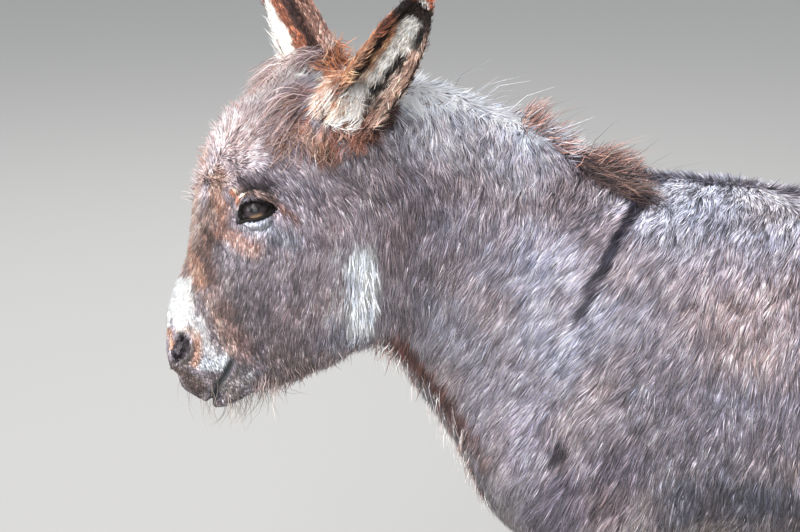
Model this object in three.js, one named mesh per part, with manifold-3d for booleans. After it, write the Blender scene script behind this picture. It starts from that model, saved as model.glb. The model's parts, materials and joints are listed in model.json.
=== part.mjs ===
// A miniature donkey standing square with its head low, as a still, life-size model, in millimetres.
// +Z is up, the donkey faces -Y and its left side is +X. The origin is on the floor, under the
// middle of the donkey's box. The outline is that of the coat, out to the tips of the hair.
//
// The body is one smooth implicit form: swept forms for the trunk, neck, head and legs, rounded
// together with the muscles. It is polygonised piece by piece and parted with thin plane cuts.
// Ears, hooves, mane and tail are lofts, and the eyes are balls in sockets.
import * as THREE from "three";
import { mergeVertices } from "three/addons/utils/BufferGeometryUtils.js";
import Module from "manifold-3d";

const wasm = await Module();
wasm.setup();

// ---------------------------------------------------------------- driving dimensions

const WITHERS_HEIGHT = 860; // floor to the top of the coat at the withers
const WITHERS_Y = -129; // the withers' place along the body, which centres the box on the origin
const GAP = 0.3; // between neighbouring nodes
const LEG_CUT = 448; // the legs part from the trunk at this height, just under the belly
const LEG_RINGS = [24, 44, 62, 82, 102, 122, 150, 200, 255, 290, 320, 350, 385, 415, 455];
const CORONET_HEIGHT = 48; // the middle of the line between hair and horn

const CELL = { trunk: 44, neck: 33, head: 19.5, muzzle: 14 }; // polygon sizes

const HEAD_TILT = THREE.MathUtils.degToRad(27); // the head's long axis from the vertical
const EYE = { radius: 19, out: 60, along: 78, above: 29 };
const NOSTRIL = { out: 35, along: 262, above: 31, radii: [14, 8, 13] };
const EAR_LENGTH = 222;
const MANE_WIDTH = 26;
const MANE_DEPTH = 14; // how far the mane's foot lies under the crest line
const HOOF = { height: 62, length: 88, width: 72 };

const COLOURS = {
  coat: "#978d90",
  muzzle: "#cfc8c4",
  ear: "#8d6350",
  mane: "#5d4a45",
  hoof: "#3d3733",
  eye: "#17110e",
};

// ---------------------------------------------------------------- places on the body

// A point from the withers' place: x to the left, y backwards from the withers, z from the floor.
const at = (x, y, z) => new THREE.Vector3(x, WITHERS_Y + y, z);

// The head's own frame, with its origin in the middle of the cranium: +along runs to the lips,
// and +above runs out through the forehead.
const HEAD_ORIGIN = at(0, -340, 905);
const HEAD_ALONG = new THREE.Vector3(0, -Math.sin(HEAD_TILT), -Math.cos(HEAD_TILT));
const HEAD_ABOVE = new THREE.Vector3(0, -Math.cos(HEAD_TILT), Math.sin(HEAD_TILT));
const onHead = (x, along, above) =>
  HEAD_ORIGIN.clone()
    .addScaledVector(HEAD_ALONG, along)
    .addScaledVector(HEAD_ABOVE, above)
    .add(new THREE.Vector3(x, 0, 0));

// The near ear is turned out to the side, and the far one forward.
const EARS = [
  {
    name: "ear_left",
    root: at(42, -330, 918),
    tip: at(142, -228, 1089),
    opening: new THREE.Vector3(1, -0.1, -0.3),
    sweep: 8,
  },
  {
    name: "ear_right",
    root: at(-46, -308, 918),
    tip: at(-86, -428, 1132),
    opening: new THREE.Vector3(-0.62, -0.78, 0),
    sweep: 0,
  },
];

const UP = new THREE.Vector3(0, 0, 1);
const FORWARD = new THREE.Vector3(0, -1, 0);
const SIDES = { left: 1, right: -1 };

// ---------------------------------------------------------------- implicit forms
// Each form is a function of a point that gives its distance in mm from the form's surface,
// negative inside.

const SAMPLES_PER_SPAN = 6;
const REACH = 70; // forms further off than this have no part in a join

// A form that is only worked out near the box that holds it; further off, the distance to the
// box stands in.
function bounded(form, points, margin) {
  const bounds = new THREE.Box3().setFromPoints(points).expandByScalar(margin);
  return (p) => {
    const off = bounds.distanceToPoint(p);
    return off > REACH ? off : form(p);
  };
}

// A section swept along a smooth spine. Each rib is {at, up, down, wide, low}: a point on the
// spine, the reach to either side of it along `upward`, the half width there, and the half
// width at the lower edge as a share of that.
function swept(ribs, upward, { power = 2.2, cap = 30 } = {}) {
  const spine = new THREE.CatmullRomCurve3(ribs.map((r) => r.at), false, "catmullrom", 0.5);
  const sizes = new THREE.CatmullRomCurve3(
    ribs.map((r) => new THREE.Vector3(r.up, r.down ?? r.up, r.wide)), false, "catmullrom", 0.5);
  const lows = new THREE.CatmullRomCurve3(
    ribs.map((r) => new THREE.Vector3(r.low ?? 1, 0, 0)), false, "catmullrom", 0.5);
  const count = (ribs.length - 1) * SAMPLES_PER_SPAN;
  const points = spine.getPoints(count);
  const reaches = sizes.getPoints(count);
  const lowShares = lows.getPoints(count).map((v) => v.x);
  const spans = points.slice(1).map((end, i) => ({
    start: points[i],
    chord: end.clone().sub(points[i]),
    tangent: end.clone().sub(points[i]).normalize(),
    lengthSq: end.distanceToSquared(points[i]),
  }));
  const offset = new THREE.Vector3();
  const normal = new THREE.Vector3();
  const side = new THREE.Vector3();
  const form = (p) => {
    let best = 0;
    let bestShare = 0;
    let bestSq = Infinity;
    spans.forEach((s, i) => {
      offset.copy(p).sub(s.start);
      const share = THREE.MathUtils.clamp(offset.dot(s.chord) / s.lengthSq, 0, 1);
      const sq = offset.addScaledVector(s.chord, -share).lengthSq();
      if (sq < bestSq) [best, bestShare, bestSq] = [i, share, sq];
    });
    const { start, chord, tangent } = spans[best];
    offset.copy(p).sub(start).addScaledVector(chord, -bestShare);
    normal.copy(upward).addScaledVector(tangent, -upward.dot(tangent)).normalize();
    side.crossVectors(tangent, normal);
    const above = offset.dot(normal);
    const aside = offset.dot(side);
    const beyond = offset.dot(tangent);
    const mix = (list, key) => THREE.MathUtils.lerp(key(list[best]), key(list[best + 1]), bestShare);
    const up = mix(reaches, (v) => v.x);
    const down = mix(reaches, (v) => v.y);
    const fall = THREE.MathUtils.clamp((up - above) / (up + down), 0, 1);
    const wide = mix(reaches, (v) => v.z) * THREE.MathUtils.lerp(1, mix(lowShares, (v) => v), fall);
    const tall = above > 0 ? up : down;
    const ratio =
      (Math.abs(above / tall) ** power + Math.abs(aside / wide) ** power +
        Math.abs(beyond / cap) ** power) ** (1 / power);
    const length = Math.hypot(above, aside, beyond);
    return ratio > 1e-6 ? length - length / ratio : -Math.min(tall, wide);
  };
  return bounded(form, points, Math.max(cap, ...ribs.flatMap((r) => [r.up, r.down ?? r.up, r.wide])));
}

// An ellipsoid with its radii along x, y and z, turned about the x axis by `pitch` radians.
function ellipsoid(centre, radii, pitch = 0) {
  const [rx, ry, rz] = radii;
  const cos = Math.cos(pitch);
  const sin = Math.sin(pitch);
  return (p) => {
    const [x, dy, dz] = [p.x - centre.x, p.y - centre.y, p.z - centre.z];
    const [y, z] = [dy * cos + dz * sin, dz * cos - dy * sin];
    const scaled = Math.hypot(x / rx, y / ry, z / rz);
    const steep = Math.hypot(x / (rx * rx), y / (ry * ry), z / (rz * rz));
    return steep > 1e-9 ? (scaled * (scaled - 1)) / steep : -Math.min(rx, ry, rz);
  };
}

// A ball that rolls from a to b while its radius changes.
function tapered(a, b, radiusA, radiusB) {
  const chord = b.clone().sub(a);
  const offset = new THREE.Vector3();
  return (p) => {
    offset.copy(p).sub(a);
    const share = THREE.MathUtils.clamp(offset.dot(chord) / chord.lengthSq(), 0, 1);
    return offset.addScaledVector(chord, -share).length() -
      THREE.MathUtils.lerp(radiusA, radiusB, share);
  };
}

// The form on both sides of the middle plane.
const mirrored = (form) => {
  const q = new THREE.Vector3();
  return (p) => form(q.set(Math.abs(p.x), p.y, p.z));
};

// Forms joined with a fillet of about `round` mm.
function joined(round, ...forms) {
  return (p) =>
    forms.reduce((sum, form) => {
      const d = form(p);
      if (sum === null) return d;
      const h = Math.max(round - Math.abs(sum - d), 0) / round;
      return Math.min(sum, d) - (h * h * round) / 4;
    }, null);
}

// ---------------------------------------------------------------- the body's forms

// A rib of the trunk or neck from its upper and lower outline points, as [y, z] from the
// withers' place, with the half width where it is widest and how far down that is.
function rib([topY, topZ], [lowY, lowZ], wide, { share = 0.56, low = 1 } = {}) {
  const top = at(0, topY, topZ);
  const bottom = at(0, lowY, lowZ);
  const depth = top.distanceTo(bottom);
  return { at: top.lerp(bottom, share), up: depth * share, down: depth * (1 - share), wide, low };
}

function trunkForm() {
  const barrel = swept([
    rib([-95, 790], [-95, 520], 84),
    rib([-30, 846], [-30, 474], 106),
    rib([60, WITHERS_HEIGHT - 3], [60, 462], 124),
    rib([160, 855], [160, 458], 146),
    rib([280, 853], [280, 456], 159),
    rib([400, 858], [400, 462], 158),
    rib([500, 868], [500, 488], 142),
    rib([590, 866], [590, 545], 120),
    rib([650, 846], [650, 610], 92),
  ], UP, { power: 2.2, cap: 52 });
  const withers = tapered(at(0, -30, 806), at(0, 60, 798), 56, 58);
  const breast = mirrored(ellipsoid(at(40, -112, 566), [62, 58, 82]));
  const shoulderBlade = mirrored(ellipsoid(at(80, -52, 680), [42, 88, 176], -0.36));
  const upperArm = mirrored(tapered(at(82, -104, 582), at(88, -14, 512), 56, 52));
  const croup = tapered(at(0, 470, 800), at(0, 600, 788), 66, 64);
  const haunch = mirrored(ellipsoid(at(76, 560, 694), [66, 122, 176], 0.12));
  const thigh = mirrored(tapered(at(84, 585, 660), at(96, 505, 545), 80, 66));
  const point = mirrored(ellipsoid(at(52, 668, 738), [42, 46, 78]));
  return joined(42, barrel, withers, breast, shoulderBlade, upperArm, croup, haunch, thigh, point);
}

function neckForm() {
  return swept([
    rib([-285, 985], [-350, 758], 46),
    rib([-200, 972], [-306, 722], 54, { low: 1.2 }),
    rib([-115, 934], [-266, 686], 66, { low: 1.25 }),
    rib([-38, 886], [-218, 620], 84, { low: 1.15 }),
    rib([40, 852], [-164, 546], 104, { low: 1.05 }),
    rib([110, 846], [-106, 478], 122),
  ], UP, { power: 2.1, cap: 30 });
}

function headForm() {
  const station = (along, above, below, wide, low = 1) =>
    ({ at: onHead(0, along, 0), up: above, down: below, wide, low });
  const skull = swept([
    station(-34, 70, 62, 50),
    station(10, 98, 78, 62),
    station(50, 103, 88, 68),
    station(90, 97, 98, 68, 0.95),
    station(130, 84, 98, 59, 0.95),
    station(170, 70, 88, 50),
    station(205, 66, 66, 44),
    station(238, 61, 40, 41),
    station(266, 46, 27, 41),
    station(286, 20, 25, 36, 0.85),
  ], HEAD_ABOVE, { power: 2.3, cap: 24 });
  const jaw = mirrored(swept([
    { at: onHead(34, 78, -74), up: 40, wide: 28 },
    { at: onHead(34, 130, -100), up: 40, wide: 27 },
    { at: onHead(30, 172, -94), up: 40, wide: 26 },
    { at: onHead(24, 216, -72), up: 33, wide: 24 },
    { at: onHead(14, 250, -54), up: 24, wide: 22 },
  ], HEAD_ABOVE, { cap: 30 }));
  const cheek = mirrored(ellipsoid(onHead(38, 112, -58), [34, 74, 84], -0.5));
  const brow = mirrored(ellipsoid(onHead(52, 58, 44), [22, 22, 34], -HEAD_TILT));
  const cheekbone = mirrored(tapered(onHead(54, 112, 14), onHead(38, 182, 8), 16, 12));
  const earRoots = EARS.map(({ root, tip }) => tapered(
    root.clone().lerp(tip, -0.06), root.clone().lerp(tip, 0.17), 33, 27));
  return joined(20, joined(34, skull, jaw, cheek), brow, cheekbone, ...earRoots);
}

function muzzleForm() {
  const nostrilWing = mirrored(ellipsoid(onHead(24, 262, 25), [19, 21, 28], -HEAD_TILT));
  const upperLip = swept([
    { at: onHead(0, 262, 2), up: 34, down: 25, wide: 38 },
    { at: onHead(0, 286, -5), up: 19, down: 20, wide: 33 },
    { at: onHead(0, 299, -14), up: 9, down: 12, wide: 24 },
  ], HEAD_ABOVE, { cap: 11 });
  const chin = swept([
    { at: onHead(0, 214, -58), up: 24, down: 26, wide: 29 },
    { at: onHead(0, 250, -50), up: 22, down: 22, wide: 29 },
    { at: onHead(0, 280, -41), up: 19, down: 19, wide: 27 },
    { at: onHead(0, 301, -33), up: 13, down: 13, wide: 21 },
  ], HEAD_ABOVE, { cap: 12 });
  return { upper: joined(14, nostrilWing, upperLip), chin };
}

// A leg's stations for one side of the body, stepped forward or back below the belly. They are
// listed downwards: [x, y, z, front, back, half width], with x to the outside.
const placed = ({ side, stations, step }) => stations.map(([x, y, z, front, back, wide]) => ({
  at: at(side * x, y + step * Math.max(0, 1 - z / LEG_CUT), z),
  up: front,
  down: back,
  wide,
}));

const legForm = (leg) => swept(placed(leg), FORWARD, { power: 2.1, cap: 10 });

const FORELEG = [
  [86, -40, 560, 60, 60, 44],
  [86, -38, 470, 54, 56, 42],
  [84, -44, 380, 42, 44, 36],
  [82, -50, 318, 36, 36, 33],
  [82, -50, 285, 36, 34, 33],
  [81, -46, 200, 26, 28, 24],
  [80, -46, 124, 30, 35, 28],
  [80, -58, 86, 27, 29, 26],
  [80, -68, 52, 36, 37, 33],
  [80, -72, 24, 36, 37, 33],
];
const HIND_LEG = [
  [94, 510, 590, 78, 82, 52],
  [97, 522, 510, 68, 70, 47],
  [96, 566, 440, 48, 52, 38],
  [92, 630, 368, 36, 42, 31],
  [90, 648, 330, 36, 40, 31],
  [89, 648, 230, 28, 30, 26],
  [88, 642, 126, 32, 36, 29],
  [88, 626, 86, 28, 30, 27],
  [88, 614, 52, 37, 38, 34],
  [88, 610, 24, 37, 38, 34],
];
// Each leg's hoof is stepped forward (negative) or back by this much, as a donkey at ease stands.
const LEGS = [
  { name: "foreleg_left", hoof: "hoof_fore_left", side: 1, stations: FORELEG, step: 0 },
  { name: "foreleg_right", hoof: "hoof_fore_right", side: -1, stations: FORELEG, step: -24 },
  { name: "hindleg_left", hoof: "hoof_hind_left", side: 1, stations: HIND_LEG, step: -34 },
  { name: "hindleg_right", hoof: "hoof_hind_right", side: -1, stations: HIND_LEG, step: 0 },
];

const legs = LEGS.map(legForm);
const muzzle = muzzleForm();
const torso = joined(46, trunkForm(), neckForm(), ...legs);
const faceForm = joined(6, joined(14, headForm(), muzzle.upper), muzzle.chin);
const body = joined(34, torso, faceForm);

// ---------------------------------------------------------------- solids

const CORNERS = [0, 1, 2, 3, 4, 5, 6, 7];
const CUBE_EDGES = CORNERS.flatMap((corner) =>
  [1, 2, 4].filter((bit) => !(corner & bit)).map((bit) => [corner, corner | bit]));
const CUBE_DIAGONALS = [[1, 2], [2, 4], [1, 4]].flatMap(([u, v]) =>
  [0, 7 - u - v].flatMap((base) => [[base, base | u | v], [base | u, base | v]]));

// For each corner of a cell, a label shared by the corners on the same patch of its rim.
// Outside corners are joined across a face's diagonal and inside corners are not.
function patches(inside) {
  const label = [...CORNERS];
  const join = ([a, b]) => {
    const [keep, drop] = [label[a], label[b]];
    label.forEach((l, n) => { if (l === drop) label[n] = keep; });
  };
  CUBE_EDGES.filter(([a, b]) => inside[a] === inside[b]).forEach(join);
  CUBE_DIAGONALS.filter(([a, b]) => !inside[a] && !inside[b]).forEach(join);
  return label;
}

// The closed surface of `form` inside the box. The grid is nudged along until no
// cell is crossed by two sheets at once, which would pinch the surface.
function polygonise(form, box, cell) {
  const nudge = new THREE.Vector3(0.13, 0.17, 0.11).multiplyScalar(cell);
  for (let tries = 0; tries < 12; tries++) {
    const grid = box.clone().translate(nudge.clone().multiplyScalar(tries));
    const { points, triangles } = net(form, grid, cell);
    if (isManifold(triangles)) return solid(points, triangles);
  }
  throw new Error("no grid parts the sheets of this surface");
}

// Whether each edge is walked just once each way.
function isManifold(triangles) {
  const walked = new Set();
  for (let i = 0; i < triangles.length; i += 3)
    for (let n = 0; n < 3; n++) {
      const key = triangles[i + n] * 1e6 + triangles[i + ((n + 1) % 3)];
      if (walked.has(key)) return false;
      walked.add(key);
    }
  return true;
}

// A net of quads of about `cell` mm over the surface, with a vertex in each cell that it
// crosses. Every vertex is then slid onto the surface.
function net(form, box, cell) {
  const size = box.getSize(new THREE.Vector3());
  const counts = size.toArray().map((s) => Math.ceil(s / cell) + 1);
  const [nx, ny, nz] = counts;
  const p = new THREE.Vector3();
  const index = (i, j, k) => i + nx * (j + ny * k);
  const place = (i, j, k) => p.set(box.min.x + i * cell, box.min.y + j * cell, box.min.z + k * cell);
  const values = new Float64Array(nx * ny * nz);
  for (let k = 0; k < nz; k++)
    for (let j = 0; j < ny; j++)
      for (let i = 0; i < nx; i++) {
        const rim = [i, j, k].some((n, axis) => n === 0 || n === counts[axis] - 1);
        values[index(i, j, k)] = rim ? cell : form(place(i, j, k));
      }
  const steps = [1, nx, nx * ny];
  const vertexOf = new Map(); // by cell and by the edge of it that the surface crosses
  const points = [];
  for (let k = 0; k < nz - 1; k++)
    for (let j = 0; j < ny - 1; j++)
      for (let i = 0; i < nx - 1; i++) {
        const corners = CORNERS.map((n) =>
          values[index(i + (n & 1), j + ((n >> 1) & 1), k + (n >> 2))]);
        const inside = corners.map((value) => value < 0);
        const crossed = CUBE_EDGES.filter(([a, b]) => inside[a] !== inside[b]);
        if (!crossed.length) continue;
        const label = patches(inside);
        const sheets = new Map();
        for (const edge of crossed) {
          const [a, b] = edge;
          const sheet = Math.min(label[a], label[b]) * 8 + Math.max(label[a], label[b]);
          sheets.set(sheet, [...(sheets.get(sheet) ?? []), edge]);
        }
        const onRim = i === 0 || j === 0 || k === 0 || i === nx - 2 || j === ny - 2 || k === nz - 2;
        for (const edges of sheets.values()) {
          const sum = new THREE.Vector3();
          for (const [a, b] of edges) {
            const share = corners[a] / (corners[a] - corners[b]);
            sum.x += THREE.MathUtils.lerp(a & 1, b & 1, share);
            sum.y += THREE.MathUtils.lerp((a >> 1) & 1, (b >> 1) & 1, share);
            sum.z += THREE.MathUtils.lerp(a >> 2, b >> 2, share);
            vertexOf.set(index(i, j, k) * 64 + a * 8 + b, points.length);
          }
          const vertex = place(i, j, k).clone().addScaledVector(sum, cell / edges.length);
          points.push(onRim ? vertex : slideOnto(form, vertex, cell));
        }
      }
  const triangles = [];
  const quad = (a, b, c, d) => {
    const split = points[a].distanceTo(points[c]) < points[b].distanceTo(points[d]);
    triangles.push(...(split ? [a, b, c, a, c, d] : [a, b, d, b, c, d]));
  };
  for (let k = 0; k < nz - 1; k++)
    for (let j = 0; j < ny - 1; j++)
      for (let i = 0; i < nx - 1; i++) {
        const here = index(i, j, k);
        steps.forEach((step, axis) => {
          const inside = values[here] < 0;
          if (inside === values[here + step] < 0) return;
          const [u, v] = [(axis + 1) % 3, (axis + 2) % 3];
          const ring = [[1, 1], [0, 1], [0, 0], [1, 0]].map(([du, dv]) => {
            const corner = (du << u) | (dv << v);
            const cellIndex = here - du * steps[u] - dv * steps[v];
            return vertexOf.get(cellIndex * 64 + corner * 8 + (corner | (1 << axis)));
          });
          quad(...(inside ? ring : ring.reverse()));
        });
      }
  return { points, triangles };
}

// Newton steps along the form's slope, kept within half a cell.
function slideOnto(form, start, cell) {
  const p = start.clone();
  const probe = new THREE.Vector3();
  for (let step = 0; step < 3; step++) {
    const value = form(p);
    const slope = new THREE.Vector3(...["x", "y", "z"].map((axis) => {
      probe.copy(p)[axis] += 1;
      return form(probe) - value;
    }));
    p.addScaledVector(slope, -value / Math.max(slope.lengthSq(), 0.25));
  }
  return p.distanceTo(start) < cell / 2 ? p : start;
}

function solid(points, triangles) {
  return new wasm.Manifold(new wasm.Mesh({
    numProp: 3,
    vertProperties: Float32Array.from(points.flatMap((v) => [v.x, v.y, v.z])),
    triVerts: Uint32Array.from(triangles),
  }));
}

function solidOf(geometry) {
  const bare = geometry.clone();
  bare.deleteAttribute("normal");
  bare.deleteAttribute("uv");
  const merged = mergeVertices(bare, 1e-3);
  return new wasm.Manifold(new wasm.Mesh({
    numProp: 3,
    vertProperties: merged.attributes.position.array,
    triVerts: Uint32Array.from(merged.index.array),
  }));
}

function geometryOf(shape) {
  const { numProp, numVert, vertProperties, triVerts } = shape.getMesh();
  const positions = new Float32Array(numVert * 3);
  for (let i = 0; i < numVert; i++)
    positions.set(vertProperties.subarray(i * numProp, i * numProp + 3), i * 3);
  const geometry = new THREE.BufferGeometry()
    .setAttribute("position", new THREE.BufferAttribute(positions, 3))
    .setIndex(new THREE.BufferAttribute(triVerts, 1));
  geometry.computeVertexNormals();
  return geometry;
}

// The same solid with each vertex moved out by `amount`.
function swollen(shape, amount) {
  const geometry = geometryOf(shape);
  const { position, normal } = geometry.attributes;
  position.array.forEach((value, i) => { position.array[i] = value + amount * normal.array[i]; });
  return solidOf(geometry);
}

const HALF_SPACE = 4000; // the side of the block that stands for a half space

// The part of a solid behind a plane through `point`, on the side that `normal` points away
// from, half the gap short of the plane.
function behind(shape, point, normal) {
  const direction = normal.clone().normalize();
  const middle = point.clone().addScaledVector(direction, -HALF_SPACE / 2 - GAP / 2);
  const block = new THREE.BoxGeometry(HALF_SPACE, HALF_SPACE, HALF_SPACE);
  block.applyQuaternion(new THREE.Quaternion().setFromUnitVectors(UP, direction));
  block.translate(middle.x, middle.y, middle.z);
  return shape.intersect(solidOf(block));
}

const inFrontOf = (shape, point, normal) => behind(shape, point, normal.clone().negate());

const largest = (shape) =>
  shape.decompose().reduce((a, b) => (b.volume() > a.volume() ? b : a));

const box = (low, high) => new THREE.Box3(low, high);

// A closed solid through rings of equal count, each ring a closed loop of points. The rings may
// be wound either way.
function loft(rings) {
  const n = rings[0].length;
  const points = rings.flat();
  const triangles = [];
  for (let r = 0; r < rings.length - 1; r++)
    for (let i = 0; i < n; i++) {
      const [a, b] = [r * n + i, r * n + ((i + 1) % n)];
      triangles.push(a, b, b + n, a, b + n, a + n);
    }
  // Each end is closed by a strip between its loop's two halves.
  for (let i = 0; i < n / 2 - 1; i++) {
    const end = (rings.length - 1) * n;
    const [a, b, c, d] = [i, i + 1, n - 2 - i, n - 1 - i];
    triangles.push(a, c, b, a, d, c);
    triangles.push(end + a, end + b, end + c, end + a, end + c, end + d);
  }
  const shape = solid(points, triangles);
  return shape.volume() > 0 ? shape : solid(points, triangles.reverse());
}

// ---------------------------------------------------------------- lofted pieces

// A hoof: an upright horn shoe with a round toe, a straighter heel and a flat sole.
function hoofSolid(x, y) {
  const levels = [[0, 0.97, 0], [3, 1, 0], [HOOF.height * 0.6, 0.93, 8], [HOOF.height, 0.85, 15]];
  const count = 18;
  return loft(levels.map(([z, scale, back]) =>
    Array.from({ length: count }, (_, i) => {
      const angle = (i / count) * 2 * Math.PI;
      const heel = Math.cos(angle) > 0 ? 0.8 : 1;
      const square = (v) => Math.sign(v) * Math.abs(v) ** 0.88;
      return new THREE.Vector3(
        x + (square(Math.sin(angle)) * HOOF.width * scale) / 2,
        y + back + (square(Math.cos(angle)) * HOOF.length * scale * heel) / 2,
        z,
      );
    }).reverse()));
}

// An ear: a leaf-shaped cup from its root to its tip, open towards `opening`. Its middle bends
// sideways by `sweep` mm.
function earSolid({ root, tip, opening, sweep }) {
  const along = tip.clone().sub(root).normalize();
  const front = opening.clone().addScaledVector(along, -opening.dot(along)).normalize();
  const across = new THREE.Vector3().crossVectors(along, front);
  // Share of the length, radius of the cup, half the angle that it wraps, wall.
  const sections = [
    [0.0, 20, 2.75, 9], [0.12, 23, 2.5, 9], [0.25, 26, 2.1, 8.5], [0.38, 28, 1.85, 8],
    [0.5, 28.5, 1.68, 7.5], [0.62, 27, 1.5, 7], [0.73, 24.5, 1.36, 7], [0.83, 20, 1.25, 6.5],
    [0.91, 15.5, 1.2, 6.5], [0.965, 10.5, 1.15, 6], [1.0, 5.5, 1.1, 5.5],
  ];
  const perHalf = 7;
  return loft(sections.map(([share, radius, wrap, wall]) => {
    const bow = 10 * Math.sin(Math.PI * share); // the ear's back bows out a little
    const centre = root.clone().addScaledVector(along, share * EAR_LENGTH)
      .addScaledVector(front, radius * 0.55 - bow)
      .addScaledVector(across, sweep * Math.sin(Math.PI * share));
    const arc = (r, turn) => Array.from({ length: perHalf }, (_, i) => {
      const angle = turn * wrap * ((2 * i) / (perHalf - 1) - 1);
      return centre.clone()
        .addScaledVector(across, r * Math.sin(angle))
        .addScaledVector(front, -r * Math.cos(angle));
    });
    return [...arc(radius + wall / 2, -1), ...arc(radius - wall / 2, 1)];
  }));
}

// A round section carried along a curve in the middle plane, from [y, z, radius] stations.
function tailSolid(stations) {
  const curve = new THREE.CatmullRomCurve3(stations.map(([y, z, r]) => new THREE.Vector3(r, y, z)));
  const steps = stations.length * 2;
  const sides = 8;
  return loft(Array.from({ length: steps + 1 }, (_, s) => {
    const here = curve.getPoint(s / steps);
    const along = curve.getTangent(s / steps).setX(0).normalize();
    const normal = new THREE.Vector3(0, along.z, -along.y);
    return Array.from({ length: sides }, (_, i) => {
      const angle = (i / sides) * 2 * Math.PI;
      return at(here.x * Math.cos(angle), here.y, here.z)
        .addScaledVector(normal, here.x * Math.sin(angle));
    });
  }));
}

// The mane: a low stiff crest with a few taller clumps, from behind the ears to the withers.
function maneSolid() {
  const crest = new THREE.CatmullRomCurve3([
    at(0, -318, 968), at(0, -262, 978), at(0, -200, 966), at(0, -132, 937),
    at(0, -80, 908), at(0, -30, 882), at(0, 14, 862),
  ]);
  const clumps = [[0.1, 0.05, 12], [0.55, 0.06, 20], [0.7, 0.05, 14], [0.9, 0.06, 12]];
  const steps = 20;
  const sides = 6;
  return loft(Array.from({ length: steps + 1 }, (_, s) => {
    const share = s / steps;
    const here = crest.getPoint(share);
    const along = crest.getTangent(share);
    const out = new THREE.Vector3(0, -along.z, along.y).normalize();
    if (out.z < 0) out.negate();
    const rise = clumps.reduce(
      (sum, [where, spread, tall]) => sum + tall * Math.exp(-(((share - where) / spread) ** 2)), 11);
    return Array.from({ length: sides }, (_, i) => {
      const angle = (i / sides) * 2 * Math.PI;
      const up = THREE.MathUtils.lerp(-MANE_DEPTH, rise, (1 + Math.sin(angle)) / 2);
      const wide = MANE_WIDTH * (0.42 - 0.16 * Math.sin(angle));
      return here.clone().addScaledVector(out, up)
        .add(new THREE.Vector3(wide * Math.cos(angle), 0, 0));
    });
  }));
}

// ---------------------------------------------------------------- parting the body

const HEAD_CUT = { point: at(0, -270, 840), normal: new THREE.Vector3(0, 1, 0.04) };
const NECK_CUT = { point: at(0, -98, 710), normal: new THREE.Vector3(0, 0.929, -0.369) };
const MUZZLE_CUT = { point: onHead(0, 222, 0), normal: HEAD_ALONG };
const SWITCH_CUT = { point: at(0, 0, 560), normal: UP };
const BELLY_CUT = { point: at(0, 0, LEG_CUT), normal: UP };

const eyeCentre = (side) => onHead(side * EYE.out, EYE.along, EYE.above);
const ball = (centre, radii, pitch = 0, sides = 14) => {
  const shape = new THREE.SphereGeometry(1, sides, Math.round(sides * 0.65));
  shape.scale(...radii);
  shape.rotateX(pitch);
  shape.translate(centre.x, centre.y, centre.z);
  return solidOf(shape);
};

function headSolid() {
  const region = box(at(-125, -560, 560), at(125, -215, 1060));
  const whole = polygonise(body, region, CELL.head);
  return behind(behind(whole, HEAD_CUT.point, HEAD_CUT.normal), MUZZLE_CUT.point, MUZZLE_CUT.normal);
}

function muzzleSolid() {
  const region = box(at(-80, -545, 560), at(80, -340, 790));
  const whole = polygonise(body, region, CELL.muzzle);
  const front = inFrontOf(whole, MUZZLE_CUT.point, MUZZLE_CUT.normal);
  return Object.values(SIDES).reduce((shape, side) => {
    const { out, along, above, radii } = NOSTRIL;
    return shape.subtract(ball(onHead(side * out, along, above), radii, -HEAD_TILT, 10));
  }, largest(front));
}

function neckSolid() {
  const region = box(at(-190, -330, 400), at(190, 130, 1060));
  const whole = polygonise(body, region, CELL.neck);
  return largest(
    inFrontOf(behind(whole, NECK_CUT.point, NECK_CUT.normal), HEAD_CUT.point, HEAD_CUT.normal));
}

function trunkSolid() {
  const region = box(at(-240, -260, 370), at(240, 800, 940));
  const whole = polygonise(body, region, CELL.trunk);
  return largest(
    inFrontOf(inFrontOf(whole, NECK_CUT.point, NECK_CUT.normal), BELLY_CUT.point, BELLY_CUT.normal));
}

// A leg's level rings, each vertex slid out from the leg's middle onto the body's surface.
function legSolid(leg) {
  const stations = placed(leg);
  const spine = new THREE.CatmullRomCurve3(stations.map((s) => s.at), false, "catmullrom", 0.5);
  const sides = 12;
  const rings = LEG_RINGS.map((z) => {
    const middle = pointAtHeight(spine, z);
    return Array.from({ length: sides }, (_, i) => {
      const angle = (i / sides) * 2 * Math.PI;
      const out = new THREE.Vector3(Math.cos(angle), Math.sin(angle), 0);
      return middle.clone().addScaledVector(out, surfaceDistance(middle, out));
    });
  });
  const foot = stations.at(-1).at;
  const coronet = {
    point: new THREE.Vector3(foot.x, foot.y, CORONET_HEIGHT),
    normal: new THREE.Vector3(0, 0.3, 0.954),
  };
  const whole = behind(loft(rings), BELLY_CUT.point, BELLY_CUT.normal);
  return {
    leg: largest(inFrontOf(whole, coronet.point, coronet.normal)),
    hoof: behind(hoofSolid(foot.x, foot.y - 4), coronet.point, coronet.normal),
  };
}

function pointAtHeight(curve, z) {
  let [low, high] = [0, 1];
  for (let i = 0; i < 30; i++) {
    const middle = (low + high) / 2;
    if (curve.getPoint(middle).z > z) low = middle;
    else high = middle;
  }
  return curve.getPoint(low);
}

const MARCH = { steps: 24, share: 0.7, farthest: 130 }; // steps out to the surface

// How far the body's surface is from a point inside it.
function surfaceDistance(inside, direction) {
  const p = new THREE.Vector3();
  let reach = 0;
  for (let i = 0; i < MARCH.steps; i++)
    reach -= body(p.copy(inside).addScaledVector(direction, reach)) * MARCH.share;
  return Math.min(reach, MARCH.farthest);
}

// ---------------------------------------------------------------- the scene graph

const donkey = new THREE.Group();

function addNode(name, shape, colour, roughness = 0.9) {
  const geometry = geometryOf(shape);
  const material = new THREE.MeshStandardMaterial({ color: colour, roughness, metalness: 0 });
  const mesh = new THREE.Mesh(geometry, material);
  mesh.name = name;
  donkey.add(mesh);
}

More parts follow.
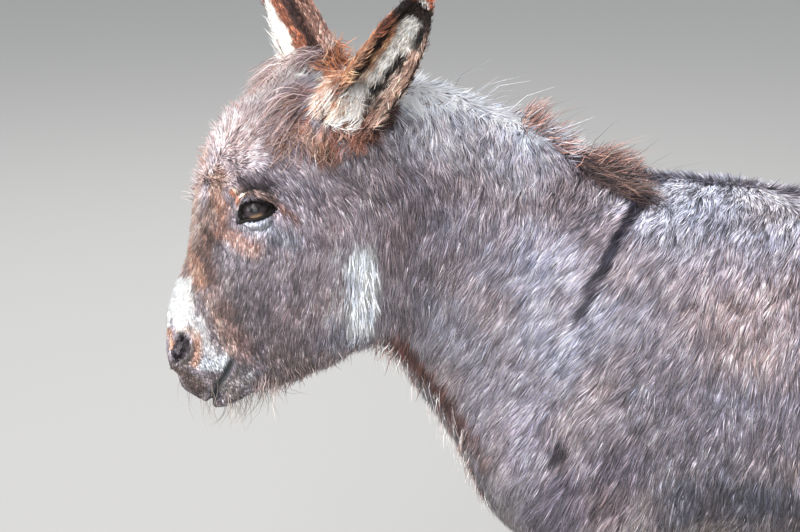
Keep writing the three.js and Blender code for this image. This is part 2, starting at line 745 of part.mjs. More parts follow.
const CLEAR = 0.6; // the pieces that stand on the body are cut back from it by this much

const head = headSolid();
const neck = neckSolid();
const trunk = trunkSolid();
const cutters = [head, neck, trunk].map((shape) => swollen(shape, CLEAR));
const cutBack = (shape) => largest(cutters.reduce((rest, cutter) => rest.subtract(cutter), shape));

const eyes = Object.entries(SIDES).map(([word, side]) => ({
  name: `eye_${word}`,
  shape: ball(eyeCentre(side), Array(3).fill(EYE.radius)),
  socket: ball(eyeCentre(side), Array(3).fill(EYE.radius + GAP)),
}));

addNode("head", largest(eyes.reduce((shape, eye) => shape.subtract(eye.socket), head)), COLOURS.coat);
addNode("muzzle", muzzleSolid(), COLOURS.muzzle);
addNode("neck", neck, COLOURS.coat);
addNode("trunk", trunk, COLOURS.coat);
eyes.forEach((eye) => addNode(eye.name, eye.shape, COLOURS.eye, 0.1));
EARS.forEach((ear) => addNode(ear.name, cutBack(earSolid(ear)), COLOURS.ear));
addNode("mane", cutBack(maneSolid()), COLOURS.mane);
LEGS.forEach((spec) => {
  const { leg, hoof } = legSolid(spec);
  addNode(spec.name, leg, COLOURS.coat);
  addNode(spec.hoof, hoof, COLOURS.hoof, 0.6);
});

const tail = cutBack(tailSolid([
  [640, 806, 34], [692, 800, 29], [722, 768, 24], [738, 715, 20], [742, 640, 18], [740, 570, 19],
  [736, 510, 26], [730, 450, 30], [724, 395, 22], [720, 352, 6],
]));
addNode("tail", largest(inFrontOf(tail, SWITCH_CUT.point, SWITCH_CUT.normal)), COLOURS.coat);
addNode("tail_switch", largest(behind(tail, SWITCH_CUT.point, SWITCH_CUT.normal)), COLOURS.mane);

export default donkey;
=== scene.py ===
"""A life-size miniature donkey, with one skin, wet eyes, horn hooves and a coat of tufts.

Lengths are in millimetres in the named sizes and in metres in the meshes. The donkey faces -Y, its
left side is +X and it stands on the floor at Z = 0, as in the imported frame.
"""

import json
import logging
import math
from dataclasses import dataclass, field
from enum import Enum

import bmesh
import bpy
import numpy as np
from mathutils import Matrix, Vector
from mathutils.kdtree import KDTree

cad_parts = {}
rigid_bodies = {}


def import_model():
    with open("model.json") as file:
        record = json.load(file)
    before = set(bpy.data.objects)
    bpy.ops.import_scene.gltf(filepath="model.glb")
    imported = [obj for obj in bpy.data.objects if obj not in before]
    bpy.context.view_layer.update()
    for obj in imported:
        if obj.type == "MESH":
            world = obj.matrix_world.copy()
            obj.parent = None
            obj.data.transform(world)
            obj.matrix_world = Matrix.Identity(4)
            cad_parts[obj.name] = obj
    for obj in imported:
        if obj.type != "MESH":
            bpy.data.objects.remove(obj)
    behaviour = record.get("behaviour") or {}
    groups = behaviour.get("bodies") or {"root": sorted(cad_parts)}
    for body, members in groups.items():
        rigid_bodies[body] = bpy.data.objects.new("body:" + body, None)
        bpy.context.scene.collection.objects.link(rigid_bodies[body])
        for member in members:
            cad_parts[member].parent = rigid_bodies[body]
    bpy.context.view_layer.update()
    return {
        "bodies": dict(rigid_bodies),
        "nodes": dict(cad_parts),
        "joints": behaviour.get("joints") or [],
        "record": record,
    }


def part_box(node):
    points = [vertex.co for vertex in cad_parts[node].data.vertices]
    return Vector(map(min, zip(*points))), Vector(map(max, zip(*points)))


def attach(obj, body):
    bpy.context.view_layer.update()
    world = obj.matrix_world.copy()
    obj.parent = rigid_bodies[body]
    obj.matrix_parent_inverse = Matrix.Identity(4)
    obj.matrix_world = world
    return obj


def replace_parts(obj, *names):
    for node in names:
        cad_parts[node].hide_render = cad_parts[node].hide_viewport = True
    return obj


LOG = logging.getLogger("donkey")
MM = 0.001
WITHERS_Y = -129.0
HEAD_TILT = math.radians(27.0)
HEAD_ORIGIN = (0.0, -340.0, 905.0)
HEAD_ALONG = (0.0, -math.sin(HEAD_TILT), -math.cos(HEAD_TILT))
HEAD_ABOVE = (0.0, -math.cos(HEAD_TILT), math.sin(HEAD_TILT))
EYE_PLACE = (60.0, 78.0, 29.0)

Triple = tuple[float, float, float]
Array = np.ndarray

FLESH = (
    "head", "muzzle", "neck", "trunk", "ear_left", "ear_right", "tail",
    "foreleg_left", "foreleg_right", "hindleg_left", "hindleg_right",
)  # fmt: skip


# ------------------------------------------------------------------ places and small tools


def on_head(x: float, along: float, above: float) -> Triple:
    """A place on the head, as millimetres from the withers' place.

    Args:
        x: distance from the middle plane.
        along: distance from the cranium's middle towards the lips.
        above: distance out through the forehead.

    Returns:
        The same place as (x, y from the withers, z from the floor).
    """
    y = HEAD_ORIGIN[1] + along * HEAD_ALONG[1] + above * HEAD_ABOVE[1]
    z = HEAD_ORIGIN[2] + along * HEAD_ALONG[2] + above * HEAD_ABOVE[2]
    return (x, y, z)


def in_row(place: Triple) -> Vector:
    """A place from the withers, in millimetres, as a point of the row's frame in metres."""
    return Vector((place[0], place[1] + WITHERS_Y, place[2])) * MM


def from_withers(points: Array) -> Array:
    """Points of the row's frame, in metres, as millimetres from the withers' place."""
    return points / MM - np.array([0.0, WITHERS_Y, 0.0])


def head_places(points: Array) -> Array:
    """Places from the withers as (x, along, above) on the head."""
    offset = points - np.array(HEAD_ORIGIN)
    return np.stack([offset[:, 0], offset @ np.array(HEAD_ALONG), offset @ np.array(HEAD_ABOVE)], 1)


def linear(code: str) -> Array:
    """A colour written as six hex digits, as linear red, green and blue."""
    value = np.array([int(code[i : i + 2], 16) for i in (0, 2, 4)]) / 255.0
    return np.where(value <= 0.04045, value / 12.92, ((value + 0.055) / 1.055) ** 2.4)


def ease(low: float, high: float, value: Array) -> Array:
    """0 below low, 1 above high, and smooth between them."""
    share = np.clip((value - low) / (high - low), 0.0, 1.0)
    return share * share * (3.0 - 2.0 * share)


def unit(vectors: Array) -> Array:
    """The vectors at length one."""
    return vectors / np.maximum(np.linalg.norm(vectors, axis=1, keepdims=True), 1e-9)


def square_to(ways: Array, axes: Array) -> Array:
    """The part of each way that is square to its axis, at length one."""
    return unit(ways - axes * (ways * axes).sum(1, keepdims=True))


def bell(value: Array, middle: Array | float, half: float) -> Array:
    """1 at the middle, falling smoothly to nothing on both sides."""
    return np.exp(-(((value - middle) / half) ** 2))


def folded(points: Array) -> Array:
    """Places with those of the right side moved onto the left."""
    left = points.copy()
    left[:, 0] = np.abs(left[:, 0])
    return left


def over(base: Array, code: str, weight: Array) -> Array:
    """Lays a colour over others.

    Args:
        base: the linear colours, one row for each place.
        code: the colour laid on, as six hex digits.
        weight: how much of it each place takes, from 0 to 1.
    """
    return base + (linear(code) - base) * np.clip(weight, 0.0, 1.0)[:, None]


def varied(colours: Array, rng: np.random.Generator, spread: float, middle: float = 0.0) -> Array:
    """The colours, each made lighter or darker at random."""
    return colours * np.exp(rng.normal(middle, spread, len(colours)))[:, None]


class Clouds:
    """Smooth random fields on a lattice, the same on every run."""

    CELLS = 24

    def __init__(self, seed: int) -> None:
        """Makes the lattice of random values from a seed."""
        self.lattice = np.random.default_rng(seed).random((self.CELLS,) * 3)

    def at(self, points: Array, size: float, shift: float = 0.0) -> Array:
        """The field's value, 0 to 1, at each point.

        Args:
            points: places in millimetres.
            size: the field's grain in millimetres.
            shift: moves the field along, for a second field from one lattice.
        """
        cell = points / size + shift
        low = np.floor(cell).astype(int)
        share = cell - low
        share = share * share * (3.0 - 2.0 * share)
        total = np.zeros(len(points))
        for corner in np.ndindex(2, 2, 2):
            weight = np.prod(np.where(np.array(corner) == 1, share, 1.0 - share), axis=1)
            place = (low + np.array(corner)) % self.CELLS
            total += weight * self.lattice[place[:, 0], place[:, 1], place[:, 2]]
        return total


# ------------------------------------------------------------------ markings


@dataclass(frozen=True)
class Marking:
    """A stretch of colour in the coat along a path of the left side, mirrored onto the right."""

    name: str
    colour: str
    radius: float
    soft: float
    strength: float
    path: tuple[Triple, ...]

    WANDER = 0.6
    """How far the edge wanders, as a share of its reach."""
    WIDEST_WANDER = 40.0

    def weight(self, left: Array, wander: Array) -> Array:
        """How much of the marking's colour each place takes.

        Args:
            left: places from the withers, with X made positive.
            wander: a random value for each place, about zero.
        """
        reach = min(self.radius + self.soft, self.WIDEST_WANDER)
        off = path_distance(left, self.path) + wander * self.WANDER * reach
        return self.strength * (1.0 - ease(self.radius - self.soft * 0.5, self.radius + self.soft, off))


def path_distance(points: Array, path: tuple[Triple, ...]) -> Array:
    """The distance from each point to the nearest part of a path."""
    best = np.full(len(points), 1e6)
    corners = np.array(path, float)
    for start, end in zip(corners, [*corners[1:], corners[-1]]):
        chord = end - start
        share = np.clip((points - start) @ chord / max(chord @ chord, 1e-6), 0.0, 1.0)
        best = np.minimum(best, np.linalg.norm(points - start - share[:, None] * chord, axis=1))
    return best


def head_marking(
    name: str, colour: str, radius: float, soft: float, strength: float, *path: Triple
) -> Marking:
    """A marking whose path is given as (x, along, above) on the head."""
    return Marking(name, colour, radius, soft, strength, tuple(on_head(*place) for place in path))


BASE_COAT = "8f858c"
BACK_COAT = "a7a3af"
BELLY_COAT = "b9b0b2"

MARKINGS = (
    # trunk
    Marking("back_light", "b2b1be", 70, 60, 0.75, ((0, 40, 862), (0, 600, 866))),
    Marking("rib_tan", "b5a3a8", 95, 70, 0.5, ((150, 180, 740), (160, 330, 700))),
    Marking("rib_high", "817e8a", 30, 30, 0.7, ((70, 64, 839), (88, 113, 812))),
    Marking("rib_pink", "a6979f", 34, 30, 0.75, ((109, 71, 776), (127, 97, 707))),
    Marking("rib_back", "797480", 40, 40, 0.8, ((150, 175, 775), (158, 330, 770))),
    Marking("rib_low", "8a8391", 34, 34, 0.8, ((124, 54, 641), (141, 134, 636), (158, 400, 600))),
    # painted shade on the lower flank, where the barrel turns under
    Marking("rib_shade", "555563", 30, 30, 0.8, ((116, 48, 543), (122, 120, 540), (140, 380, 520))),
    Marking("arm_dark", "685d65", 22, 26, 0.8, ((134, -28, 589), (145, -48, 538))),
    Marking("belly", "c9c2c0", 60, 34, 0.8, ((0, 100, 445), (0, 450, 452))),
    Marking("inner_thigh", "cfc8c5", 50, 34, 0.8, ((20, 560, 540), (30, 600, 470))),
    Marking("haunch", "9d959e", 90, 60, 0.5, ((130, 560, 700), (130, 600, 560))),
    # neck and shoulder
    Marking("crest_silver", "e4e7f4", 24, 24, 0.9, ((20, -240, 962), (10, -171, 951), (12, -130, 930))),
    Marking("neck_curls", "9b9ba7", 18, 20, 0.8, ((45, -244, 917), (44, -200, 915))),
    Marking("neck_dark", "6f6871", 26, 26, 0.8, ((57, -239, 867), (69, -221, 817), (74, -228, 754))),
    Marking("neck_band", "8a828b", 22, 24, 0.5, ((63, -182, 858), (78, -151, 798))),
    Marking("neck_blue", "9d9caa", 26, 22, 0.6, ((43, -182, 916), (45, -110, 885))),
    Marking("neck_low", "8f8993", 26, 26, 0.7, ((81, -202, 724), (103, -161, 655))),
    Marking("neck_front", "64575b", 12, 16, 0.8, ((65, -264, 827), (68, -262, 763), (64, -249, 718))),
    Marking("shoulder_blue", "a1a0b3", 40, 34, 0.75, ((97, -91, 793), (117, -91, 736))),
    Marking("shoulder_high", "716971", 22, 22, 0.8, ((57, -79, 856), (87, -50, 833))),
    Marking("breast", "ab9fab", 24, 24, 0.7, ((87, -181, 649), (126, -141, 608))),
    Marking("chest_blue", "9893a4", 24, 24, 0.7, ((118, -131, 660), (131, -121, 621))),
    Marking("chest_low", "675f6e", 22, 24, 0.8, ((142, -89, 560), (128, -103, 520))),
    # painted shadow in the dimple at the point of the shoulder
    Marking("dimple_shadow", "29252b", 9, 10, 0.95, ((137, -93, 605),)),
    Marking("fluff", "ded8d6", 18, 18, 0.9, ((0, -285, 684), (0, -160, 520))),
    Marking("rust_line", "64372a", 11, 12, 0.97, ((51, -259, 697), (55, -228, 659), (65, -196, 613))),
    Marking("rust_low", "7a5a55", 8, 12, 0.8, ((65, -196, 613), (104, -171, 583))),
    # the dorsal stripe and the shoulder cross
    Marking("dorsal", "4d4853", 19, 9, 0.92, ((0, -20, 880), (0, 80, 870), (0, 400, 872), (0, 660, 868))),
    Marking(
        "withers", "42363a", 10, 10, 0.92, ((0, -75, 897), (30, -60, 882), (45, -30, 870), (50, -5, 858))
    ),
    Marking("cross_top", "241f28", 7, 4, 0.99, ((43, -1, 863), (57, -7, 856), (95, -31, 830))),
    Marking("cross_mid", "2b2934", 6, 4, 0.99, ((95, -31, 830), (101, -41, 809), (109, -51, 792))),
    Marking("cross_low", "3a3740", 5, 6, 0.95, ((109, -51, 792), (113, -59, 777), (118, -72, 748))),
    # legs
    Marking("fore_cannon", "8a7f80", 46, 20, 0.6, ((82, -50, 330), (80, -52, 80))),
    Marking("fore_inner", "c4bcb9", 18, 14, 0.8, ((56, -44, 430), (58, -48, 130))),
    Marking("hind_inner", "c4bcb9", 18, 14, 0.8, ((64, 560, 470), (66, 640, 130))),
    Marking("coronet", "4c4340", 44, 10, 0.5, ((82, -72, 52), (80, -64, 66))),
    Marking("hind_coronet", "4c4340", 44, 10, 0.5, ((88, 610, 52), (88, 616, 66))),
    # head
    head_marking("cheek", "948790", 52, 40, 0.8, (60, 90, -60), (50, 190, -60)),
    head_marking("cheek_low", "867272", 30, 26, 0.7, (60, 180, -70), (46, 214, -50)),
    head_marking("jaw", "a69da7", 26, 24, 0.7, (60, 110, -120), (50, 160, -120)),
    head_marking("forehead", "b3a5a7", 44, 38, 0.95, (0, -10, 100), (0, 60, 108)),
    head_marking("forehead_side", "bba9ad", 26, 26, 0.8, (48, 0, 66), (56, 40, 70)),
    head_marking("temple", "a5949b", 34, 28, 0.7, (70, 20, 8), (70, 50, -20)),
    head_marking("bridge_tan", "bb9a8d", 24, 22, 0.9, (0, 90, 96), (0, 196, 70)),
    Marking("cheek_dark", "6e6468", 16, 18, 0.7, ((64, -409, 762), (51, -416, 725), (49, -399, 696))),
    Marking("cheek_rust", "93756f", 8, 10, 0.6, ((50, -447, 746), (45, -434, 717), (41, -417, 682))),
    Marking("jaw_low", "7a6a68", 10, 10, 0.7, ((47, -391, 679), (46, -359, 670))),
    Marking("brown_top", "b08d7e", 9, 10, 0.85, ((50, -444, 881), (52, -448, 855))),
    Marking("brown_mid", "897168", 12, 10, 0.85, ((48, -452, 838), (40, -462, 803))),
    Marking("face_rust", "a27564", 7, 8, 0.75, ((58, -438, 850), (58, -436, 836), (54, -441, 818))),
    Marking("face_dark", "5f4741", 8, 8, 0.85, ((45, -456, 810), (42, -459, 785), (48, -450, 762))),
    Marking("bridge_rust", "c59683", 8, 8, 0.85, ((18, -482, 790), (29, -474, 778), (38, -465, 764))),
    Marking("throat_grey", "afacb5", 10, 18, 0.7, ((74, -306, 795), (68, -309, 730))),
    Marking("throat_white", "f4f9ff", 8, 13, 1.0, ((74, -292, 800), (72, -290, 756), (62, -294, 716))),
    # round the eye
    Marking("brow_ridge", "7c7175", 5, 7, 0.8, ((54, -432, 895), (73, -402, 884), (69, -371, 864))),
    Marking("brow_shadow", "463c40", 8, 7, 0.9, ((72, -415, 879), (73, -401, 874), (72, -390, 866))),
    Marking("orbit_brown", "8a6f66", 3.5, 4, 0.8, ((71, -416, 868), (73, -398, 867), (73, -382, 859))),
    Marking("brow_rust", "9e6850", 4, 4.5, 0.95, ((66, -427, 864), (70, -422, 857))),
    Marking("under_white", "cbccda", 6, 5, 0.97, ((67, -418, 833), (71, -404, 830), (72, -392, 832))),
    Marking("under_tan", "bd8c7a", 8, 11, 0.62, ((65, -421, 813), (72, -406, 809))),
    Marking("under_blue", "83848f", 8, 10, 0.75, ((73, -382, 822), (74, -367, 812))),
    Marking("corner_rust", "6b4a3d", 3, 5, 0.9, ((71, -378, 851), (73, -360, 839))),
    Marking("brow_cream", "e2c8b4", 1.5, 3, 0.9, ((66, -425, 869), (70, -417, 866))),
    # the ears' feet
    Marking("crown_rust", "8b6e6d", 9, 10, 0.9, ((47, -371, 944), (32, -356, 966))),
    Marking("ear_front", "93604c", 10, 10, 0.9, ((59, -351, 931), (73, -325, 905))),
    Marking("ear_behind", "7d4f3e", 9, 10, 0.9, ((87, -294, 917), (90, -282, 928))),
    Marking("ear_curls", "a4735e", 6, 8, 0.85, ((88, -337, 933), (73, -333, 911))),
    # the pale muzzle
    head_marking("white_top", "f4f2f1", 22, 8, 1.0, (0, 216, 76), (0, 246, 64)),
    Marking("white_bridge", "f6f4f3", 14, 8, 1.0, ((24, -486, 747), (28, -488, 725))),
    Marking("white_side", "d0ccd1", 7, 7, 1.0, ((40, -468, 716), (41, -463, 706), (41, -450, 675))),
    Marking("white_low", "dde4f0", 6, 6, 0.95, ((42, -458, 672), (39, -446, 668), (38, -440, 674))),
    Marking("tan_edge", "b79d96", 5, 6, 0.6, ((45, -455, 745), (42, -441, 705), (39, -431, 685))),
    head_marking("white_chin", "d9d4d2", 14, 10, 0.8, (22, 218, -72), (8, 236, -76)),
    Marking("nostril_rust", "cf9f8c", 4, 5, 0.9, ((42, -468, 699), (43, -467, 686), (44, -471, 673))),
    Marking("nostril_top", "d9bfb2", 2, 4, 0.8, ((35, -490, 707), (38, -477, 709), (41, -469, 704))),
    Marking("nose_rust", "bd8b74", 4, 5, 0.9, ((12, -503, 700), (29, -499, 701), (38, -498, 689))),
    Marking("wing_grey", "6d6461", 6, 4, 0.95, ((43, -477, 689), (43, -482, 673))),
    head_marking("nostril_deep", "17110f", 3.2, 3, 1.0, (36, 249, 36), (33, 270, 30)),
    Marking("lip_brown", "5c4e49", 9, 6, 0.95, ((12, -500, 668), (38, -485, 658), (35, -471, 641))),
    Marking("lip_low", "4a403e", 4, 4, 0.9, ((28, -471, 631), (0, -466, 620))),
    Marking("slate_mouth", "4a5356", 4, 5, 0.9, ((37, -433, 671), (31, -443, 653), (25, -451, 636))),
    Marking("chin_grey", "777172", 11, 9, 0.9, ((35, -417, 655), (26, -433, 636))),
    Marking("lower_lip", "2a2b31", 6.5, 5, 0.95, ((22, -451, 627), (0, -458, 616))),
    Marking("chin_edge", "453a39", 2.5, 4, 0.8, ((19, -438, 622), (15, -412, 631))),
)


FOLLICLES = ((42, -456, 672), (38, -447, 664), (32, -452, 652))


class EarSide(Enum):
    """Which ear, by the sign of its X."""

    LEFT = 1
    RIGHT = -1


@dataclass(frozen=True)
class Ear:
    """A cup-shaped ear, open towards its front."""

    side: EarSide
    root: Triple
    tip: Triple
    opening: Triple
    sweep: float = 0.0
    """How far the ear's middle bends backward."""
    length: float = 222.0
    widest: float = 27.5

    def axes(self) -> tuple[Array, Array, Array]:
        """The directions along the ear, out of its opening, and across it."""
        along = unit((np.array(self.tip) - np.array(self.root))[None])[0]
        front = np.array(self.opening, float)
        front = unit((front - along * (front @ along))[None])[0]
        return along, front, np.cross(along, front)

    def half_width(self, share: Array) -> Array:
        """Half the cup's width at a share of its length."""
        return self.widest * np.sqrt(np.clip(1.0 - ((share - 0.42) / 0.62) ** 2, 0.03, 1.0))

    def share(self, points: Array) -> Array:
        """How far up the ear each place from the withers is, as a share of its length."""
        along, _, _ = self.axes()
        return (points - np.array(self.root)) @ along / self.length

    def across(self, points: Array) -> Array:
        """How far across the ear each place is, from -1 at one edge to 1 at the other."""
        _, _, across = self.axes()
        share = self.share(points)
        bend = self.sweep * np.sin(np.pi * np.clip(share, 0.0, 1.0))
        return ((points - np.array(self.root)) @ across - bend) / self.half_width(share)

    def holds(self, points: Array) -> Array:
        """Which places belong to the ear rather than the head."""
        along, front, across = self.axes()
        offset = points - np.array(self.root)
        share = offset @ along / self.length
        reach = np.hypot(offset @ across, offset @ front)
        return (share > 0.17) & (reach < 58.0) & (points[:, 0] * self.side.value > 0)

    def lead(self, points: Array) -> Array:
        """How far towards the ear's forward edge each place is, from -1 behind to 1 at that edge."""
        return -self.across(points) * self.side.value

    def colours(self, points: Array, inner: Array, clouds: Clouds) -> Array:
        """The colour of the ear's hair.

        Args:
            points: places from the withers.
            inner: True where the place is inside the cup.
            clouds: the random fields that break the edges.
        """
        share = self.share(points) + 0.05 * (clouds.at(points, 7.0) - 0.5)
        lead = self.lead(points) + 0.22 * (clouds.at(points, 9.0) - 0.5)
        mottle = clouds.at(points, 10.0, 5.0)

        def band(value: Array, middle: Array | float, half: float, soft: float) -> Array:
            """1 within half of the middle, falling smoothly to 0 over the soft width."""
            return 1.0 - ease(half, half + soft, np.abs(value - middle))

        back = np.tile(linear("a98072"), (len(points), 1))
        back = over(back, "8b7377", 1.0 - ease(0.12, 0.3, share))
        back = over(back, "3c2622", band(lead, 0.52, 0.16, 0.16) * ease(0.2, 0.35, share))
        back = over(back, "4b302a", band(lead, -0.1, 0.1, 0.2) * ease(0.5, 0.65, share))
        back = over(back, "9c5f48", band(lead, 0.86, 0.08, 0.1))
        fringe = {EarSide.LEFT: ("b87a58", "cf9a7c"), EarSide.RIGHT: ("f2e8de", "f2e8de")}[self.side]
        back = over(back, fringe[0], ease(0.95, 1.03, lead))
        back = over(back, "c9a897", 1.0 - ease(-0.9, -0.75, lead))
        high, low = ease(0.3, 0.4, share), 1.0 - ease(0.3, 0.42, share)
        cup = np.tile(linear("b8998c"), (len(points), 1))
        cup = over(cup, "d6d2cd", ease(-0.6, -0.4, lead) * high)
        cup = over(cup, "bf8b6c", ease(0.12, 0.3, lead) * high)
        cup = over(cup, "fff8f0", low * ease(-0.5, -0.3, lead))
        line = -(0.02 + 0.75 * share)
        cup = over(
            cup, "231f1e", band(lead, line, 0.09, 0.1) * ease(0.26, 0.34, share) * ease(0.2, 0.4, mottle)
        )
        cup = over(cup, "a9725a", ease(0.3, 0.5, lead) * ease(0.55, 0.75, share))
        cup = over(cup, "7e4b3a", ease(0.74, 0.86, lead) * (1.0 - ease(0.36, 0.46, share)))
        edge = ease(0.36, 0.46, share) * ease(0.78, 0.86, lead)
        if self.side is EarSide.RIGHT:
            edge = ease(0.9, 0.97, lead)
        cup = over(cup, fringe[1], edge)
        cup = over(cup, "6a3c2e", ease(0.74, 0.86, lead) * ease(0.6, 0.7, share))
        # painted shadow line between the hair of the forward edge and the hair inside the cup
        cup = over(cup, "17100f", band(lead, 0.64 - 0.12 * ease(0.6, 0.8, share), 0.11, 0.07) * high)
        cup = over(cup, "17100f", band(lead, 0.45, 0.2, 0.1) * ease(0.68, 0.78, share))
        cup = over(cup, "7a5143", (1.0 - ease(0.22, 0.34, share)) * (1.0 - ease(-0.55, -0.35, lead)))
        cup = over(cup, "2c1c18", 1.0 - ease(-1.0, -0.88, lead))
        tone = np.where(inner[:, None], cup, back)
        tone = over(tone, "1f1614", band(share, 0.87, 0.04, 0.04))
        return over(tone, "93492f", ease(0.93, 0.96, share))


EARS = (
    Ear(EarSide.LEFT, (42, -330, 918), (142, -228, 1089), (1.0, -0.1, -0.3), 8.0),
    Ear(EarSide.RIGHT, (-46, -308, 918), (-86, -428, 1132), (-0.62, -0.78, 0.0)),
)


class CoatColours:
    """The colours of the coat, which the skin and the tufts both take."""

    def __init__(self) -> None:
        """Prepares the random fields that break up the edges."""
        self.clouds = Clouds(11)

    def at(self, points: Array, normals: Array) -> Array:
        """The coat's linear colour at each place.

        Args:
            points: places from the withers, in millimetres.
            normals: the skin's outward directions there.

        Returns:
            One row of red, green and blue for each place.
        """
        left = folded(points)
        low = ease(420.0, 620.0, points[:, 2])
        colour = linear(BASE_COAT) * low[:, None] + linear(BELLY_COAT) * (1.0 - low[:, None]) * 0.8
        high = ease(760.0, 870.0, points[:, 2]) * ease(-60.0, 60.0, points[:, 1])
        colour = colour + (linear(BACK_COAT) - colour) * high[:, None]
        wander = self.clouds.at(points, 16.0) + 0.6 * self.clouds.at(points, 6.0, 3.0) - 0.8
        for marking in MARKINGS:
            colour = over(colour, marking.colour, marking.weight(left, wander))
        colour = over(colour, "3d3836", self._follicles(left))
        for ear in EARS:
            inside = ear.holds(points)
            if inside.any():
                facing = normals[inside] @ ear.axes()[1] > 0.05
                colour[inside] = ear.colours(points[inside], facing, self.clouds)
        return colour

    @staticmethod
    def _follicles(left: Array) -> Array:
        """How dark each left-side place is with the rows of spots that the whiskers grow from."""
        head = head_places(left)
        rows = np.abs(np.cos(head[:, 1] * 0.75) * np.cos((head[:, 2] + 0.3 * head[:, 1]) * 0.8))
        return 0.85 * ease(0.5, 0.8, rows) * (1.0 - ease(5.0, 9.0, path_distance(left, FOLLICLES)))


def paleness(colour: Array) -> Array:
    """0 for the grey and brown coat and 1 for the white one."""
    return ease(0.5, 0.75, colour.mean(1))


# ------------------------------------------------------------------ how the coat lies


@dataclass(frozen=True)
class Lie:
    """How the coat grows round one place of the left side, mirrored onto the right."""

    place: Triple
    flow: Triple
    length: float
    width: float
    rise: float
    curl: float
    density: float
    """Tufts to the square centimetre."""


def head_lie(place: Triple, *rest: object) -> Lie:
    """A lie whose place is given as (x, along, above) on the head."""
    return Lie(on_head(*place), *rest)


